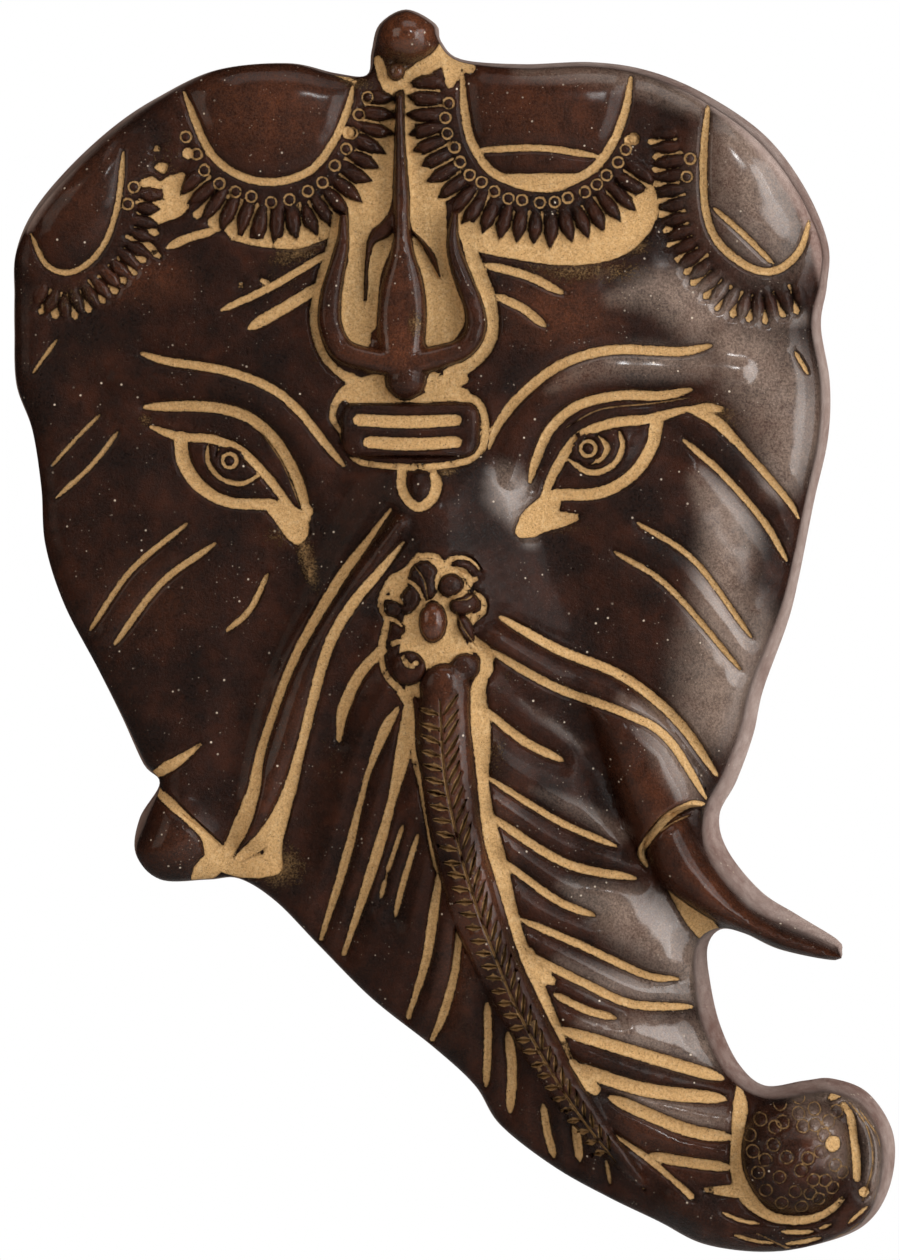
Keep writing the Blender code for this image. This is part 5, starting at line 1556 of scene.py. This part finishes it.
def floor_material():
    """Plain pale floor."""
    finish = Finish("pale_floor")
    tone = finish.cloud(3, 2.0)
    shade = finish.blend(tone, (0.80, 0.79, 0.78, 1), (0.86, 0.86, 0.85, 1))
    finish.feed(finish.shader.inputs["Base Color"], shade)
    finish.shader.inputs["Roughness"].default_value = 0.6
    return finish.material


def length(name, description, default):
    """Length property in metres."""
    return FloatProperty(name=name, description=description, default=default, unit="LENGTH")


def colour(name, description, default):
    """Colour property."""
    return FloatVectorProperty(name=name, description=description, default=(*default, 1.0),
                               size=4, subtype="COLOR", min=0.0, max=1.0)


def power(name, description, default):
    """Power of a light."""
    return FloatProperty(name=name, description=description, default=default, unit="POWER")


class PlaqueForm(bpy.types.PropertyGroup):
    """Depths of the relief."""
    rim_depth: length("Rim depth", "Depth of the rim wall under the rounded edge", 0.010)
    edge_round: length("Edge round", "How far the edge rounds up", 0.0035)
    edge_run: length("Edge run", "Width of the rounded edge", 0.007)
    belly: length("Belly", "Rise of the face inside its edge", 0.0045)
    belly_run: length("Belly run", "Distance over which the face rises", 0.045)
    groove_depth: length("Groove depth", "Depth of a carved line", 0.0013)


class PlaqueColours(bpy.types.PropertyGroup):
    """Colours of the patina, the pigment, and the painted sheen, reflection and shade."""
    patina_dark: colour("Patina dark", "Main dark brown", (0.0055, 0.0020, 0.0012))
    patina_brown: colour("Patina brown", "Lighter brown areas", (0.0330, 0.0092, 0.0040))
    # Nearly black, used for the mottling and for the painted shade by the pigment's edges
    patina_deep_and_shade: colour("Patina deep", "Nearly black mottling, and the painted shade by the pigment's edges", (0.0030, 0.0014, 0.0010))
    # Paler colour painted where the lights would gloss the surface
    painted_sheen_colour: colour("Painted sheen", "Paler colour of the painted sheen", (0.270, 0.196, 0.155))
    patina_grain: colour("Patina grain", "Fine grains on the skin", (0.034, 0.0130, 0.0075))
    patina_warm: colour("Patina warm", "Rubbed red-brown places", (0.130, 0.040, 0.0155))
    # Painted reflection of the pale surroundings on the rim wall
    wall_reflection_dark: colour("Wall reflection dark", "Painted reflection on the rim wall, darker", (0.19, 0.115, 0.095))
    wall_reflection_pale: colour("Wall reflection pale", "Painted reflection on the rim wall, paler", (0.46, 0.37, 0.33))
    pigment: colour("Pigment", "Tan pigment in the cuts", (0.63, 0.392, 0.172))
    pigment_dark: colour("Pigment dark", "Darker grains", (0.17, 0.088, 0.032))
    pigment_pale: colour("Pigment pale", "Paler grains", (0.80, 0.575, 0.320))
    speck: colour("Speck", "Tiny pale specks", (0.70, 0.60, 0.48))


class PlaqueStage(bpy.types.PropertyGroup):
    """Camera and lights."""
    camera_distance: length("Camera distance", "From the camera to the wall plane", 2.2)
    floor_drop: length("Floor drop", "Gap between the plaque and the floor", 0.15)
    key_power: power("Key power", "Soft light from the right", 10.5)
    sheen_power: power("Sheen power", "Light that glosses the right half", 7.0)
    fill_power: power("Fill power", "Warm light from the left", 4.6)
    glint_power: power("Glint power", "Small light that puts glints on the forms", 2.2)
    top_power: power("Top power", "Light from above", 3.5)
    sky: FloatProperty(name="Sky", description="Brightness of the surroundings", default=0.03)


class PLAQUE_OT_cast(bpy.types.Operator):
    """Models the casting with its fine relief and patina"""
    bl_idname = "plaque.cast"
    bl_label = "Relief Casting"

    def execute(self, context):
        piece = build_cast(context.scene.plaque_form)
        piece.data.materials.append(patina_material(context.scene.plaque_colours))
        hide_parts(NODE)
        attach(piece, BODY)
        return {"FINISHED"}


def add_floor(settings):
    """Pale floor under the plaque, wide enough for every view."""
    mesh = bmesh.new()
    bmesh.ops.create_grid(mesh, x_segments=8, y_segments=8, size=FLOOR_HALF_SIZE)
    bmesh.ops.translate(mesh, verts=mesh.verts, vec=(0, 0, LOW[2] - settings.floor_drop))
    data = bpy.data.meshes.new("pale_floor")
    mesh.to_mesh(data)
    mesh.free()
    data.materials.append(floor_material())
    floor = bpy.data.objects.new("pale_floor", data)
    bpy.context.collection.objects.link(floor)


def add_light(name, place, target, size, power, tint):
    """Soft rectangular light aimed at a point."""
    data = bpy.data.lights.new(name, "AREA")
    data.shape = "RECTANGLE"
    data.size, data.size_y = size
    data.energy = power
    data.color = tint
    light = bpy.data.objects.new(name, data)
    light.location = place
    way = Vector(target) - Vector(place)
    light.rotation_euler = way.to_track_quat("-Z", "Y").to_euler()
    bpy.context.collection.objects.link(light)


def add_sky(brightness):
    """White backdrop for the camera and a soft even light for the plaque."""
    world = bpy.data.worlds.new("studio")
    world.use_nodes = True
    bpy.context.scene.world = world
    tree = world.node_tree
    tree.nodes.clear()
    rays = tree.nodes.new("ShaderNodeLightPath")
    output = tree.nodes.new("ShaderNodeOutputWorld")
    mix = tree.nodes.new("ShaderNodeMixShader")
    tree.links.new(rays.outputs["Is Camera Ray"], mix.inputs[0])
    for slot, strength in ((1, brightness), (2, 1.0)):
        light = tree.nodes.new("ShaderNodeBackground")
        light.inputs["Color"].default_value = (1, 1, 1, 1)
        light.inputs["Strength"].default_value = strength
        tree.links.new(light.outputs[0], mix.inputs[slot])
    tree.links.new(mix.outputs[0], output.inputs["Surface"])


class PLAQUE_OT_stage(bpy.types.Operator):
    """Adds the pale floor, the soft studio light and the camera"""
    bl_idname = "plaque.stage"
    bl_label = "Stage"

    def execute(self, context):
        settings = context.scene.plaque_stage
        add_floor(settings)
        add_sky(settings.sky)
        middle = in_space(*FRAME_CENTRE, FOCUS_DEPTH)
        x, y, z = middle
        for name, ((across, depth, up), size, tint) in LIGHTS.items():
            add_light(name, (x + across, depth, z + up), middle, size,
                      getattr(settings, name + "_power"), tint)
        data = bpy.data.cameras.new("camera")
        data.sensor_fit = "VERTICAL"
        data.sensor_height = FILM_HEIGHT
        to_face = settings.camera_distance + y
        data.lens = FILM_HEIGHT * to_face / (FRAME_HEIGHT * UNIT)
        camera = bpy.data.objects.new("camera", data)
        camera.location = (x, -settings.camera_distance, z)
        camera.rotation_euler = (math.radians(90), 0, 0)
        bpy.context.collection.objects.link(camera)
        context.scene.camera = camera
        context.scene.view_settings.view_transform = "Standard"
        return {"FINISHED"}


class PLAQUE_PT_panel(bpy.types.Panel):
    """Lists the steps and the values of the plaque"""
    bl_idname = "PLAQUE_PT_panel"
    bl_label = "Elephant Plaque"
    bl_space_type = "VIEW_3D"
    bl_region_type = "UI"
    bl_category = "Plaque"

    def draw(self, context):
        layout = self.layout
        for operator in (PLAQUE_OT_cast, PLAQUE_OT_stage):
            layout.operator(operator.bl_idname)
        for group in (context.scene.plaque_form, context.scene.plaque_colours,
                      context.scene.plaque_stage):
            box = layout.box()
            for name in group.__annotations__:
                box.prop(group, name)


CLASSES = (PlaqueForm, PlaqueColours, PlaqueStage, PLAQUE_OT_cast, PLAQUE_OT_stage,
           PLAQUE_PT_panel)


def register():
    """Registers the classes and their values on the scene."""
    for cls in CLASSES:
        bpy.utils.register_class(cls)
    bpy.types.Scene.plaque_form = PointerProperty(type=PlaqueForm)
    bpy.types.Scene.plaque_colours = PointerProperty(type=PlaqueColours)
    bpy.types.Scene.plaque_stage = PointerProperty(type=PlaqueStage)


def unregister():
    """Takes the values and the classes away again."""
    del bpy.types.Scene.plaque_stage
    del bpy.types.Scene.plaque_colours
    del bpy.types.Scene.plaque_form
    for cls in reversed(CLASSES):
        bpy.utils.unregister_class(cls)


def main():
    """Builds every piece."""
    register()
    bpy.ops.plaque.cast()
    bpy.ops.plaque.stage()


if __name__ == "__main__":
    main()
